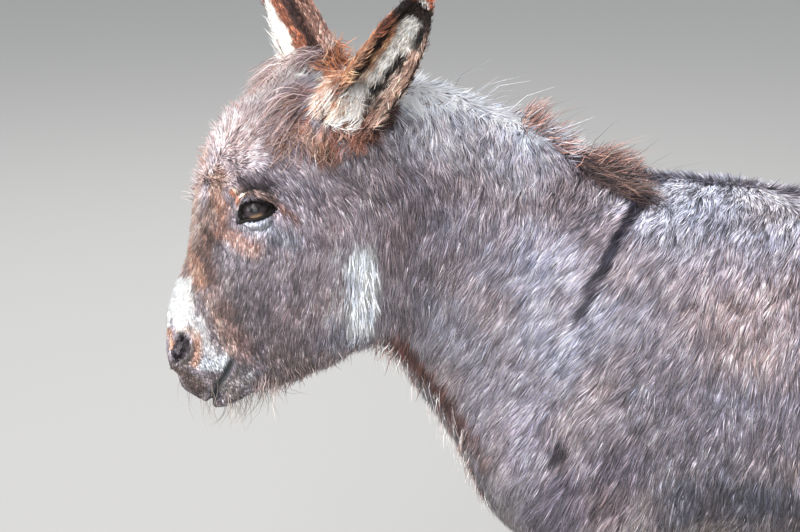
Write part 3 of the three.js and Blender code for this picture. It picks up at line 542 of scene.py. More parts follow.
LIES = (
    # muzzle: place, flow, length, width, rise, curl, density
    head_lie((0, 206, 66), (0.0, -0.45, -0.89), 8, 1.0, 12, 0.2, 60),
    head_lie((0, 262, 50), (0.1, -0.2, -0.9), 4, 0.8, 10, 0.1, 70),
    head_lie((40, 232, 22), (0.1, 0.4, -0.9), 9, 1.0, 14, 0.3, 60),
    head_lie((38, 258, -4), (0.0, 0.5, -0.85), 7, 0.9, 14, 0.2, 60),
    head_lie((36, 262, 28), (0.1, 0.1, -0.9), 2.6, 0.7, 8, 0.0, 60),
    head_lie((20, 296, -6), (0.0, 0.1, -1.0), 3.5, 0.7, 14, 0.1, 65),
    head_lie((0, 306, -10), (0.0, -0.1, -1.0), 3.5, 0.7, 14, 0.1, 65),
    head_lie((24, 290, -38), (0.0, 0.5, -0.8), 4, 0.8, 14, 0.1, 60),
    head_lie((26, 250, -52), (0.0, 0.5, -0.85), 8, 1.0, 18, 0.3, 50),
    # face
    head_lie((40, 170, 52), (0.1, -0.3, -0.95), 13, 1.2, 10, 0.3, 50),
    head_lie((0, 140, 82), (0.0, -0.5, -0.85), 13, 1.2, 34, 0.3, 45),
    head_lie((0, 190, 70), (0.0, -0.6, -0.7), 13, 1.3, 34, 0.4, 45),
    head_lie((56, 190, -20), (0.1, -0.2, -0.97), 18, 1.4, 11, 0.4, 42),
    head_lie((72, 130, -20), (0.1, -0.2, -0.97), 18, 1.4, 10.5, 0.4, 42),
    head_lie((74, 100, -70), (0.0, -0.22, -0.97), 20, 1.4, 11, 0.4, 36),
    head_lie((56, 180, -90), (0.0, -0.15, -0.98), 21, 1.4, 14, 0.4, 36),
    head_lie((50, 150, -140), (0.0, 0.05, -1.0), 24, 1.7, 22, 0.4, 34),
    head_lie((20, 180, -120), (0.0, 0.1, -1.0), 20, 1.6, 24, 0.4, 30),
    head_lie((66, 70, -106), (0.0, 0.05, -1.0), 28, 1.7, 14, 0.3, 36),
    # round the eye and the forehead
    head_lie((70, 106, 34), (0.1, 0.05, -0.97), 7, 1.0, 12, 0.2, 60),
    head_lie((66, 92, 50), (0.1, -0.3, -0.9), 6, 1.0, 14, 0.2, 60),
    head_lie((72, 52, 32), (0.1, 0.62, -0.76), 9, 1.1, 16, 0.3, 55),
    head_lie((72, 40, 0), (0.1, 0.6, -0.8), 18, 1.4, 12, 0.4, 42),
    head_lie((50, 60, 74), (0.2, 0.35, 0.1), 13, 1.3, 34, 0.6, 42),
    head_lie((0, 60, 104), (0.0, -0.2, 0.1), 15, 1.3, 46, 0.6, 40),
    head_lie((0, 10, 104), (0.0, -0.2, 0.9), 20, 1.5, 40, 0.8, 38),
    head_lie((44, 8, 76), (0.3, 0.2, 0.5), 18, 1.4, 34, 0.8, 40),
    head_lie((30, -34, 62), (0.2, 0.4, 0.5), 26, 1.9, 32, 1.2, 32),
    head_lie((68, -10, 10), (0.3, 0.5, -0.7), 20, 1.7, 24, 1.0, 36),
    # neck
    Lie((60, -270, 900), (0.1, 0.35, -0.9), 24, 2.0, 26, 1.3, 30),
    Lie((44, -180, 940), (0.2, 0.1, -0.95), 26, 2.1, 28, 1.2, 28),
    Lie((50, -90, 895), (0.3, -0.15, -0.95), 24, 2.0, 22, 0.9, 28),
    Lie((90, -230, 820), (0.0, -0.3, -0.95), 26, 1.7, 13, 0.6, 30),
    Lie((100, -140, 780), (0.0, -0.5, -0.87), 25, 1.7, 11, 0.4, 30),
    Lie((90, -200, 680), (0.0, -0.52, -0.85), 27, 1.7, 11, 0.4, 30),
    Lie((20, -240, 660), (0.0, -0.35, -0.93), 32, 2.0, 26, 0.5, 28),
    Lie((20, -150, 540), (0.1, -0.3, -0.95), 28, 2.0, 20, 0.5, 24),
    # shoulder and breast
    Lie((30, -20, 862), (0.6, -0.4, -0.7), 20, 1.9, 18, 0.5, 28),
    Lie((100, -30, 790), (0.1, -0.6, -0.8), 25, 1.7, 10, 0.4, 28),
    Lie((125, -60, 690), (0.0, -0.64, -0.77), 25, 1.7, 10, 0.4, 28),
    Lie((125, -50, 580), (0.0, -0.5, -0.86), 25, 1.7, 11, 0.4, 26),
    Lie((90, -120, 600), (0.0, -0.4, -0.9), 22, 1.9, 15, 0.4, 26),
    # barrel
    Lie((0, 200, 860), (0.3, 0.3, 0.0), 20, 2.0, 22, 0.4, 20),
    Lie((80, 130, 840), (0.5, -0.35, -0.8), 20, 1.9, 14, 0.4, 24),
    Lie((150, 160, 700), (0.0, -0.18, -0.98), 25, 1.8, 11, 0.4, 24),
    Lie((140, 120, 560), (0.0, -0.2, -0.98), 22, 1.9, 13, 0.4, 22),
    Lie((160, 330, 680), (0.0, 0.0, -1.0), 21, 2.1, 13, 0.4, 16),
    Lie((80, 340, 850), (0.6, 0.1, -0.7), 20, 2.1, 14, 0.4, 16),
    Lie((60, 260, 460), (-0.5, 0.6, -0.4), 22, 2.2, 14, 0.4, 14),
    # haunches
    Lie((0, 560, 868), (0.1, 1.0, 0.0), 20, 2.1, 16, 0.4, 15),
    Lie((120, 520, 780), (0.2, 0.5, -0.85), 20, 2.1, 13, 0.4, 15),
    Lie((150, 570, 640), (0.0, 0.35, -0.93), 20, 2.1, 13, 0.4, 15),
    Lie((130, 480, 540), (0.0, 0.1, -1.0), 20, 2.1, 14, 0.4, 15),
    Lie((50, 700, 740), (0.1, 0.1, -1.0), 19, 2.1, 13, 0.4, 15),
    # legs and tail
    Lie((100, -40, 440), (0.0, 0.0, -1.0), 14, 1.8, 12, 0.3, 20),
    Lie((84, -46, 330), (0.0, 0.1, -1.0), 10, 1.6, 12, 0.2, 22),
    Lie((80, -46, 190), (0.0, 0.1, -1.0), 8, 1.4, 10, 0.2, 24),
    Lie((80, -62, 80), (0.0, 0.2, -1.0), 8, 1.3, 14, 0.2, 26),
    Lie((100, 560, 440), (0.0, 0.2, -1.0), 13, 1.8, 12, 0.3, 20),
    Lie((90, 648, 300), (0.0, 0.1, -1.0), 9, 1.5, 11, 0.2, 22),
    Lie((88, 646, 190), (0.0, 0.1, -1.0), 8, 1.4, 10, 0.2, 24),
    Lie((88, 618, 80), (0.0, 0.2, -1.0), 8, 1.3, 14, 0.2, 26),
    Lie((0, 740, 780), (0.0, 0.2, -1.0), 16, 1.9, 14, 0.3, 22),
    Lie((0, 744, 640), (0.0, 0.0, -1.0), 18, 1.9, 16, 0.3, 24),
)


@dataclass
class Growth:
    """The coat's growth at each of many places, one array for each measure."""

    flow: Array
    length: Array
    width: Array
    rise: Array
    curl: Array
    density: Array

    DEEPEST = 11.0

    @property
    def depth(self) -> Array:
        """How far the skin lies under the coat's tips."""
        return np.minimum(0.8 * self.length * np.sin(np.radians(self.rise)) + 0.4, self.DEEPEST)


class Comb:
    """Blends the lies between their places."""

    NEAR = 22.0
    EAR_INNER_LENGTH = 17.0
    EAR_OUTER_LENGTH = 8.0

    def growth(self, points: Array, normals: Array) -> Growth:
        """The growth at each place from the withers.

        Args:
            points: places from the withers, in millimetres.
            normals: the skin's outward directions there.
        """
        side = np.where(points[:, 0] < 0, -1.0, 1.0)
        places = np.array([lie.place for lie in LIES], float)
        distance = ((folded(points)[:, None, :] - places[None]) ** 2).sum(2)
        weight = 1.0 / (distance + self.NEAR**2) ** 2
        weight /= weight.sum(1, keepdims=True)
        flow = weight @ unit(np.array([lie.flow for lie in LIES], float))
        flow[:, 0] *= side

        def blend(key: str) -> Array:
            """One field of the lies, mixed by how near each lie is."""
            return weight @ np.array([getattr(lie, key) for lie in LIES], float)

        growth = Growth(
            flow, blend("length"), blend("width"), blend("rise"), blend("curl"), blend("density")
        )
        for ear in EARS:
            self._comb_ear(ear, points, normals, growth)
        flat = growth.flow - normals * (growth.flow * normals).sum(1, keepdims=True)
        growth.flow = unit(flat + 1e-6)
        return growth

    def _comb_ear(self, ear: Ear, points: Array, normals: Array, growth: Growth) -> None:
        """Changes the growth on an ear, in place."""
        held = ear.holds(points)
        if not held.any():
            return
        along, front, across = ear.axes()
        share = ear.share(points[held])
        sideways = ear.across(points[held])
        inner = normals[held] @ front > 0.05
        inwards = np.outer(np.where(inner, -sideways * 0.35, 0.1), across)
        growth.flow[held] = along + inwards + np.outer(np.where(inner, 0.25, 0.0), front)
        long = self.EAR_INNER_LENGTH + 14.0 * (1.0 - ease(0.2, 0.6, share))
        short = self.EAR_OUTER_LENGTH + 8.0 * (1.0 - ease(0.15, 0.4, share))
        growth.length[held] = np.where(inner, long, short) * (1.0 - 0.5 * ease(0.7, 1.0, share))
        growth.width[held] = np.where(inner, 1.3, 1.4)
        growth.rise[held] = np.where(inner, 20.0, 10.0)
        growth.curl[held] = np.where(inner, 0.5, 0.3)
        growth.density[held] = np.where(inner, 26.0, 34.0)


# ------------------------------------------------------------------ finishes


@dataclass(frozen=True)
class Finish:
    """A surface's gloss, over a colour that its points carry."""

    name: str
    roughness: float
    specular: float = 0.3
    coat: float = 0.0
    sheen: float = 0.0
    grain: float = 0.0
    grain_size: float = 0.0015

    def material(self) -> bpy.types.Material:
        """The Blender material, made once and then reused."""
        made = bpy.data.materials.get(self.name)
        if made:
            return made
        made = bpy.data.materials.new(self.name)
        made.use_nodes = True
        nodes, links = made.node_tree.nodes, made.node_tree.links
        shader = nodes["Principled BSDF"]
        shader.inputs["Roughness"].default_value = self.roughness
        shader.inputs["Specular IOR Level"].default_value = self.specular
        shader.inputs["Coat Weight"].default_value = self.coat
        shader.inputs["Coat Roughness"].default_value = 0.03
        shader.inputs["Sheen Weight"].default_value = self.sheen
        tone = nodes.new("ShaderNodeAttribute")
        tone.attribute_name = "tone"
        if not self.grain:
            links.new(tone.outputs["Color"], shader.inputs["Base Color"])
            return made
        grain = nodes.new("ShaderNodeGroup")
        grain.node_tree = grain_group()
        grain.inputs["Size"].default_value = self.grain_size
        grain.inputs["Depth"].default_value = self.grain
        links.new(tone.outputs["Color"], grain.inputs["Color"])
        links.new(grain.outputs["Color"], shader.inputs["Base Color"])
        bump = nodes.new("ShaderNodeBump")
        bump.inputs["Distance"].default_value = self.grain * MM
        links.new(grain.outputs["Height"], bump.inputs["Height"])
        links.new(bump.outputs["Normal"], shader.inputs["Normal"])
        return made


def grain_group() -> bpy.types.NodeTree:
    """A node group that mottles a colour and gives a matching height, in Object coordinates."""
    name = "grain"
    tree = bpy.data.node_groups.get(name)
    if tree:
        return tree
    tree = bpy.data.node_groups.new(name, "ShaderNodeTree")
    socket = tree.interface.new_socket
    socket("Color", in_out="INPUT", socket_type="NodeSocketColor")
    socket("Size", in_out="INPUT", socket_type="NodeSocketFloat")
    socket("Depth", in_out="INPUT", socket_type="NodeSocketFloat")
    socket("Color", in_out="OUTPUT", socket_type="NodeSocketColor")
    socket("Height", in_out="OUTPUT", socket_type="NodeSocketFloat")
    nodes, links = tree.nodes, tree.links
    inputs, outputs = nodes.new("NodeGroupInput"), nodes.new("NodeGroupOutput")
    place = nodes.new("ShaderNodeTexCoord")
    scale = nodes.new("ShaderNodeMath")
    scale.operation = "DIVIDE"
    scale.inputs[0].default_value = 1.0
    noise = nodes.new("ShaderNodeTexNoise")
    noise.inputs["Detail"].default_value = 3.0
    shade = nodes.new("ShaderNodeMapRange")
    shade.inputs["To Min"].default_value = 0.72
    shade.inputs["To Max"].default_value = 1.22
    tint = nodes.new("ShaderNodeVectorMath")
    tint.operation = "SCALE"
    links.new(inputs.outputs["Size"], scale.inputs[1])
    links.new(scale.outputs[0], noise.inputs["Scale"])
    links.new(place.outputs["Object"], noise.inputs["Vector"])
    links.new(noise.outputs["Fac"], shade.inputs["Value"])
    links.new(inputs.outputs["Color"], tint.inputs[0])
    links.new(shade.outputs["Result"], tint.inputs["Scale"])
    links.new(tint.outputs["Vector"], outputs.inputs["Color"])
    links.new(noise.outputs["Fac"], outputs.inputs["Height"])
    return tree


SKIN_FINISH = Finish("skin", 0.6, 0.25, grain=0.35)
FUR_FINISH = Finish("fur", 0.65, 0.14, sheen=0.08)
LONG_HAIR_FINISH = Finish("long_hair", 0.45, 0.35)
EYE_FINISH = Finish("wet_eye", 0.25, 0.15, coat=0.42)
HORN_FINISH = Finish("horn", 0.5, 0.4, grain=0.8, grain_size=0.004)


# ------------------------------------------------------------------ meshes


def in_scene(name: str, data: bpy.types.ID) -> bpy.types.Object:
    """A new object for the data, linked to the scene."""
    made = bpy.data.objects.new(name, data)
    bpy.context.scene.collection.objects.link(made)
    return made


def made_mesh(work: bmesh.types.BMesh, name: str) -> bpy.types.Mesh:
    """The bmesh as a new mesh. The bmesh is freed."""
    mesh = bpy.data.meshes.new(name)
    work.to_mesh(mesh)
    work.free()
    return mesh


def add_object(name: str, mesh: bpy.types.Mesh, finish: Finish) -> bpy.types.Object:
    """Puts a mesh in the scene as a piece on the root body.

    Args:
        name: the piece's name.
        mesh: its mesh, in the row's frame.
        finish: its surface.
    """
    made = in_scene(name, mesh)
    mesh.materials.clear()
    mesh.materials.append(finish.material())
    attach(made, "root")
    return made


def set_tone(mesh: bpy.types.Mesh, colours: Array) -> None:
    """Writes a linear colour to each of a mesh's points, as the attribute named tone."""
    attribute = mesh.attributes.new("tone", "FLOAT_COLOR", "POINT")
    rows = np.ones((len(mesh.vertices), 4), np.float32)
    rows[:, :3] = np.clip(colours, 0.0, 1.0)
    attribute.data.foreach_set("color", rows.ravel())


def coordinates(mesh: bpy.types.Mesh) -> Array:
    """The mesh's vertices as an array."""
    flat = np.empty(len(mesh.vertices) * 3, np.float32)
    mesh.vertices.foreach_get("co", flat)
    return flat.reshape(-1, 3).astype(float)


def set_coordinates(mesh: bpy.types.Mesh, points: Array) -> None:
    """Moves the mesh's vertices."""
    mesh.vertices.foreach_set("co", points.astype(np.float32).ravel())
    mesh.update()


def point_normals(mesh: bpy.types.Mesh) -> Array:
    """The mesh's vertex normals as an array."""
    flat = np.empty(len(mesh.vertices) * 3, np.float32)
    mesh.vertex_normals.foreach_get("vector", flat)
    return flat.reshape(-1, 3).astype(float)


# ------------------------------------------------------------------ the skin


@dataclass
class Skin:
    """The one skin over all of the flesh, with its folds, lids, nostrils and mouth."""

    frame: dict
    comb: Comb
    colours: CoatColours
    overlap: float = 0.8
    """How far the flesh's nodes are swollen, so that they join."""
    voxel: float = 3.6
    triangles: int = 112000
    ear_depth: float = 1.2
    eye_radius: float = 18.4
    lid: float = 2.4
    """How far the lids' skin stands off the eyeball."""

    EYE_REACH = 34.0
    """How far from the eye's centre the lids' skin reaches."""
    LID_U = (-21.0, -15.5, -11.0, -8.0, -4.0, 1.0, 6.0, 11.0, 15.5, 20.0)
    """Places across the eye, from its inner corner to its outer one."""
    UPPER_V = (-8.6, -5.0, 1.0, 5.2, 8.3, 9.3, 8.6, 6.6, 3.6, -1.5)
    LOWER_V = (-8.6, -8.4, -7.6, -7.2, -7.6, -8.2, -8.6, -8.2, -6.0, -1.5)

    def build(self) -> bpy.types.Object:
        """Builds, sculpts, colours and unwraps the skin, and returns its object."""
        rough = self._joined_flesh()
        mesh = self._sink(rough)
        for side in (1.0, -1.0):
            self._refine(mesh, in_row(on_head(side * 70, 80, 30)), 34.0)
            self._refine(mesh, in_row(on_head(side * 70, 80, 30)), 28.0)
            self._refine(mesh, in_row(on_head(side * 72, 82, 30)), 24.0)
        self._refine(mesh, in_row(on_head(0, 276, 0)), 66.0)
        self._sculpt(mesh)
        piece = add_object("skin", mesh, SKIN_FINISH)
        mesh.shade_smooth()
        self._unwrap(piece)
        self._paint(mesh)
        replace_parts(piece, *FLESH)
        return piece

    def _joined_flesh(self) -> bpy.types.Mesh:
        """The flesh's nodes, swollen until they overlap and made one closed surface."""
        work = bmesh.new()
        for name in (*FLESH, "eye_left", "eye_right"):
            work.from_mesh(self.frame["nodes"][name].data)
        bmesh.ops.remove_doubles(work, verts=work.verts, dist=1e-5)
        work.normal_update()
        for vertex in work.verts:
            vertex.co += vertex.normal * (self.overlap * MM)
        temporary = in_scene("flesh", made_mesh(work, "flesh"))
        remesh = temporary.modifiers.new("join", "REMESH")
        remesh.mode = "VOXEL"
        remesh.voxel_size = self.voxel * MM
        joined = self._applied(temporary)
        temporary.data = joined
        temporary.modifiers.clear()
        weights = self._smooth_weights(from_withers(coordinates(joined)))
        even = temporary.vertex_groups.new(name="even")
        for step in range(11):
            chosen = np.nonzero(np.round(weights * 10) == step)[0].tolist()
            even.add(chosen, step / 10.0, "REPLACE")
        smooth = temporary.modifiers.new("smooth", "SMOOTH")
        smooth.factor, smooth.iterations, smooth.vertex_group = 0.5, 60, "even"
        thin = temporary.modifiers.new("thin", "DECIMATE")
        thin.ratio = self.triangles / (2.0 * len(joined.polygons))
        result = self._applied(temporary)
        bpy.data.objects.remove(temporary)
        LOG.info("skin: %d faces before sculpting", len(result.polygons))
        return result

    @staticmethod
    def _applied(piece: bpy.types.Object) -> bpy.types.Mesh:
        """A new mesh with the object's modifiers applied."""
        bpy.context.view_layer.update()
        graph = bpy.context.evaluated_depsgraph_get()
        return bpy.data.meshes.new_from_object(piece.evaluated_get(graph))

    @staticmethod
    def _smooth_weights(points: Array) -> Array:
        """How strongly each place is smoothed: the body most, and the ears least."""
        head = head_places(points)
        body = ease(-300.0, -220.0, points[:, 1])
        weight = 0.16 + 0.84 * body
        weight = np.where(points[:, 2] < 430.0, 0.4, weight)
        lips = (head[:, 1] > 205.0) & (head[:, 2] > -110.0) & (points[:, 1] < -320)
        weight = np.where(lips, 0.08, weight)
        for ear in EARS:
            weight = np.where(ear.holds(points), 0.05, weight)
        return np.where((points[:, 1] > 690.0) & (points[:, 2] < 800.0), 0.2, weight)

    def _sink(self, mesh: bpy.types.Mesh) -> bpy.types.Mesh:
        """Moves the surface in by the coat's depth."""
        points, normals = coordinates(mesh), point_normals(mesh)
        places = from_withers(points)
        depth = self.comb.growth(places, normals).depth
        for ear in EARS:
            depth = np.where(ear.holds(places), self.ear_depth, depth)
        set_coordinates(mesh, points - normals * ((depth + self.overlap) * MM)[:, None])
        return mesh

    @staticmethod
    def _refine(mesh: bpy.types.Mesh, centre: Vector, radius: float) -> None:
        """Splits each edge within a radius, in millimetres, of a place."""
        work = bmesh.new()
        work.from_mesh(mesh)
        bmesh.ops.triangulate(work, faces=[f for f in work.faces if len(f.verts) > 3])
        near = [
            edge
            for edge in work.edges
            if (edge.verts[0].co - centre).length < radius * MM
            and (edge.verts[1].co - centre).length < radius * MM
        ]
        bmesh.ops.subdivide_edges(work, edges=near, cuts=1, use_grid_fill=True, smooth=0.4)
        bmesh.ops.triangulate(work, faces=[f for f in work.faces if len(f.verts) > 3])
        work.to_mesh(mesh)
        work.free()

    @staticmethod
    def eye_axes(side: float) -> tuple[Array, Array, Array, Array]:
        """The eye's centre from the withers, and the ways out of it, to its outer corner and up."""
        centre = np.array(on_head(side * EYE_PLACE[0], EYE_PLACE[1], EYE_PLACE[2]))
        out = unit(np.array([[side * 0.93, -0.34, 0.1]]))[0]
        corner = np.array([0.0, 1.0, 0.24])
        corner = unit((corner - out * (corner @ out))[None])[0]
        up = np.cross(out, corner) * side
        return centre, out, corner, up

    def lid_opening(self, u: Array, v: Array) -> Array:
        """How far a place in the eye's plane is outside the lids' opening, negative inside it."""
        upper, lower = np.interp(u, self.LID_U, self.UPPER_V), np.interp(u, self.LID_U, self.LOWER_V)
        inside = (v < upper) & (v > lower) & (u > self.LID_U[0]) & (u < self.LID_U[-1])
        flat = np.stack([u, v, np.zeros(len(u))], 1)
        rim = [*zip(self.LID_U, self.UPPER_V), *zip(self.LID_U[::-1], self.LOWER_V[::-1])]
        off = path_distance(flat, tuple((x, y, 0.0) for x, y in rim))
        return np.where(inside, -off, off)

    def _sculpt(self, mesh: bpy.types.Mesh) -> None:
        """Shapes the lids, nostrils, mouth and folds into the skin."""
        points = from_withers(coordinates(mesh))
        normals = point_normals(mesh)
        for side in (1.0, -1.0):
            points = self._sculpt_eye(points, side)
        points = self._sculpt_muzzle(points, normals)
        set_coordinates(mesh, (points + np.array([0.0, WITHERS_Y, 0.0])) * MM)

    def _sculpt_eye(self, points: Array, side: float) -> Array:
        """Wraps the skin round one eyeball and opens the lids."""
        centre, out, corner, up = self.eye_axes(side)
        offset = points - centre
        w, u, v = offset @ out, offset @ corner, offset @ up
        radius = np.hypot(u, v)
        near = (radius < 40.0) & (w > -4.0)
        shell = self.eye_radius + self.lid
        ball = np.sqrt(np.maximum(shell**2 - radius**2, 0.0))
        hold = (1.0 - ease(shell * 0.72, shell * 1.6, radius)) * near
        lifted = w + (ball - w) * hold
        off = self.lid_opening(u, v)
        # a rim round the opening, a crease and a fold over the upper lid, and one crease below
        ridge = 0.9 * bell(off, 1.6, 1.4) - 0.6 * bell(off, 6.0, 1.6) * (v > 0)
        ridge += 0.8 * bell(off, 9.0, 2.2) * (v > 0)
        ridge -= 0.8 * bell(off, 5.5, 1.5) * (v < 0)
        lifted += ridge * near
        eyeball = np.sqrt(np.maximum(self.eye_radius**2 - radius**2, 0.0))
        sunk = np.minimum(lifted, eyeball - 7.0)
        open_share = 1.0 - ease(-1.3, 0.1, off)
        lifted = np.where(near, lifted + (sunk - lifted) * open_share, w)
        return points + out * (lifted - w)[:, None]

    @staticmethod
    def _sculpt_muzzle(points: Array, normals: Array) -> Array:
        """Sinks the nostrils and the mouth, and rolls the lips."""
        head = head_places(points)
        x, along, above = np.abs(head[:, 0]), head[:, 1], head[:, 2]
        on_muzzle = (along > 225.0) & (points[:, 1] < -380.0)
        # each nostril is a comma that opens to the side and back
        comma = np.array([(243, 39), (247, 31), (256, 26), (267, 27), (277, 31)], float)
        widths = np.array([2.6, 4.4, 4.8, 3.4, 2.0])
        best, width = np.full(len(points), 1e3), np.full(len(points), 3.0)
        plane = np.stack([along, above], 1)
        for i in range(len(comma) - 1):
            chord = comma[i + 1] - comma[i]
            share = np.clip((plane - comma[i]) @ chord / (chord @ chord), 0.0, 1.0)
            off = np.linalg.norm(plane - comma[i] - share[:, None] * chord, axis=1)
            closer = off < best
            best = np.where(closer, off, best)
            width = np.where(closer, widths[i] + share * (widths[i + 1] - widths[i]), width)
        side_skin = on_muzzle & (x > 16.0)
        pit = 13.0 * (1.0 - ease(0.35, 1.15, best / width))
        rim = 1.5 * bell(best, width * 1.35, 1.8)
        shift = np.where(side_skin, rim - pit, 0.0)
        # the mouth runs level along the head from its corner to the front of the lips
        line = -24.0 + 1.2 * np.sin((along - 250.0) / 14.0)
        off = np.abs(above - line)
        reach = ease(244.0, 252.0, along)
        groove = 5.0 * bell(off, 0.0, 2.0) - 1.0 * bell(off, 6.0, 3.0)
        shift = shift - np.where(on_muzzle, groove * reach, 0.0)
        return points + normals * shift[:, None]

    @staticmethod
    def _unwrap(piece: bpy.types.Object) -> None:
        """Gives the skin an unwrap of its own shape."""
        piece.data.uv_layers.new(name="OFBake")
        bpy.context.view_layer.objects.active = piece
        piece.select_set(True)
        bpy.ops.object.mode_set(mode="EDIT")
        bpy.ops.mesh.select_all(action="SELECT")
        bpy.ops.uv.smart_project(angle_limit=math.radians(66.0), island_margin=0.001)
        bpy.ops.object.mode_set(mode="OBJECT")
        piece.select_set(False)

    def _paint(self, mesh: bpy.types.Mesh) -> None:
        """Colours the skin as the coat over it, darkened as painted shade under the coat, with dark bare
        skin at the lids.
        """
        points, normals = from_withers(coordinates(mesh)), point_normals(mesh)
        depth = self.comb.growth(points, normals).depth
        colour = self.colours.at(points + normals * depth[:, None], normals)
        # painted shade: the skin is darker than the coat over it, as the shade between the tufts
        colour = colour * (0.5 + 0.35 * paleness(colour))[:, None]
        for side in (1.0, -1.0):
            centre, out, corner, up = self.eye_axes(side)
            offset = points - centre
            off = self.lid_opening(offset @ corner, offset @ up)
            margin = (1.0 - ease(4.0, 6.2, off)) * (np.linalg.norm(offset, axis=1) < self.EYE_REACH)
            colour = over(colour, "15110f", margin)
        set_tone(mesh, colour)


# ------------------------------------------------------------------ tufts and locks


@dataclass
class Tufts:
    """Many closed spindles of hair, as arrays with one row for each."""

    roots: Array
    normals: Array
    flow: Array
    length: Array
    width: Array
    rise: Array
    curl: Array
    colour: Array
    uv: Array
    rings: int = 1
    droop: float = 0.0
    flat: float = 0.5
    shade: tuple[float, float] = (0.28, 1.4)
    # The brightness at the root and at the tip: painted shade deep in the coat towards the root, and
    # lighter towards the tip.
    """The brightness at the root and at the tip."""

    SIDES = 3
    PATCH = 0.003

    def mesh(self, name: str, rng: np.random.Generator) -> bpy.types.Mesh:
        """One mesh of all the tufts.

        Args:
            name: the mesh's name.
            rng: the source of the random curl and turn.
        """
        if self.rings == 0:
            return self._blades(name, rng)
        count, rings, sides = len(self.roots), self.rings, self.SIDES
        side = unit(np.cross(self.flow, self.normals))
        steps = self._steps()
        phase, spin = rng.uniform(0, 2 * math.pi, (2, count))
        turns = rng.uniform(0.7, 1.3, count) * 2.0 * math.pi
        centres = np.stack([self._centre(t, side, phase, turns) for t in [*steps, 1.0]], 1)
        per_tuft = 2 + rings * sides
        verts = np.empty((count, per_tuft, 3))
        verts[:, 0] = self.roots - self.normals * 1.5
        verts[:, -1] = centres[:, -1]
        profile = [self._profile(t) for t in steps]
        for k in range(rings):
            ahead = unit(centres[:, k + 1] - (centres[:, k - 1] if k else self.roots))
            wide = unit(side - ahead * (side * ahead).sum(1, keepdims=True))
            tall = np.cross(ahead, wide)
            for j in range(sides):
                angle = spin + 2.0 * math.pi * j / sides
                reach = 0.5 * self.width * profile[k]
                verts[:, 1 + k * sides + j] = (
                    centres[:, k]
                    + wide * (np.cos(angle) * reach)[:, None]
                    + tall * (np.sin(angle) * reach * self.flat)[:, None]
                )
        shares = np.array([0.0, *np.repeat(steps, sides), 1.0])
        around = np.array([0.5, *np.tile(np.arange(sides) / sides, rings), 0.5])
        return self._made(name, verts, self._faces(), shares, around)

    def _blades(self, name: str, rng: np.random.Generator) -> bpy.types.Mesh:
        """One mesh of all the tufts as thin closed blades of four triangles."""
        count, side = len(self.roots), unit(np.cross(self.flow, self.normals))
        turns = rng.uniform(0.7, 1.3, count) * 2.0 * math.pi
        phase = rng.uniform(0, 2 * math.pi, count)
        verts = np.empty((count, 4, 3))
        base = self.roots + self.normals * (self.width * 0.15)[:, None]
        verts[:, 0] = base + side * (0.5 * self.width)[:, None]
        verts[:, 1] = base - side * (0.5 * self.width)[:, None]
        verts[:, 2] = base - self.normals * 1.2 + self.flow * (self.width * 0.4)[:, None]
        verts[:, 3] = self._centre(1.0, side, phase, turns)
        faces = np.array([(0, 1, 2), (0, 3, 1), (1, 3, 2), (2, 3, 0)])
        shares, around = np.array([0.35, 0.35, 0.2, 1.0]), np.array([0.0, 1.0, 0.5, 0.5])
        return self._made(name, verts, faces, shares, around)

    def _made(
        self, name: str, verts: Array, faces: Array, shares: Array, around: Array
    ) -> bpy.types.Mesh:
        """The mesh of every tuft, with its tone and its place on the unwrap.

        Args:
            name: the mesh's name.
            verts: each tuft's vertices, from the withers.
            faces: the triangles of one tuft.
            shares: how far along a tuft each of its vertices is.
            around: how far round a tuft each of its vertices is.
        """
        count, per_tuft = verts.shape[:2]
        corners = (np.arange(count)[:, None, None] * per_tuft + faces[None]).reshape(-1, 3)
        places = verts.reshape(-1, 3) + np.array([0.0, WITHERS_Y, 0.0])
        mesh = triangles_mesh(name, places * MM, corners)
        # painted shade towards each tuft's root, lighter towards its tip
        light = self.shade[0] + (self.shade[1] - self.shade[0]) * shares
        set_tone(mesh, (self.colour[:, None, :] * light[None, :, None]).reshape(-1, 3))
        patch = np.stack([around - 0.5, shares - 0.5], 1) * self.PATCH
        uv = (self.uv[:, None, :] + patch[None]).reshape(-1, 2)[corners.ravel()]
        mesh.uv_layers.new(name="OFBake").data.foreach_set("uv", uv.astype(np.float32).ravel())
        return mesh

    def _steps(self) -> list[float]:
        """The rings' places along a tuft."""
        if self.rings <= 1:
            return [0.42] * self.rings
        return [0.06 + 0.84 * k / (self.rings - 1) for k in range(self.rings)]

    def _profile(self, share: float) -> float:
        """The tuft's width at a share of its length, as a share of its full width."""
        return 1.0 if self.rings == 1 else min(1.0, 0.55 + 2.0 * share) * (1.0 - share) ** 0.6 * 1.15

    def _centre(self, t: float, side: Array, phase: Array, turns: Array) -> Array:
        """The middle of each tuft at a share of its length."""
        rise = np.radians(self.rise) * (1.35 - 0.6 * t)
        ahead = self.flow * np.cos(rise)[:, None] + self.normals * np.sin(rise)[:, None]
        swing = 0.11 * self.curl * self.length
        sway = swing * (np.sin(phase + turns * t) - np.sin(phase))
        lift = 0.6 * swing * (np.cos(phase + turns * t) - np.cos(phase))
        centre = self.roots + ahead * (self.length * t)[:, None] + side * sway[:, None]
        centre = centre + self.normals * np.maximum(lift, -0.2 * self.length * t)[:, None]
        centre[:, 2] -= self.droop * t * t * self.length
        return centre

    def _faces(self) -> Array:
        """The triangles of one tuft, by its own vertices, facing out."""
        sides, rings = self.SIDES, self.rings
        last = 1 + rings * sides
        faces = []
        for j in range(sides):
            nxt = (j + 1) % sides
            faces.append((0, 1 + nxt, 1 + j))
            for k in range(rings - 1):
                a, b = 1 + k * sides + j, 1 + k * sides + nxt
                faces += [(a, b, b + sides), (a, b + sides, a + sides)]
            base = 1 + (rings - 1) * sides
            faces.append((base + j, base + nxt, last))
        return np.array(faces)


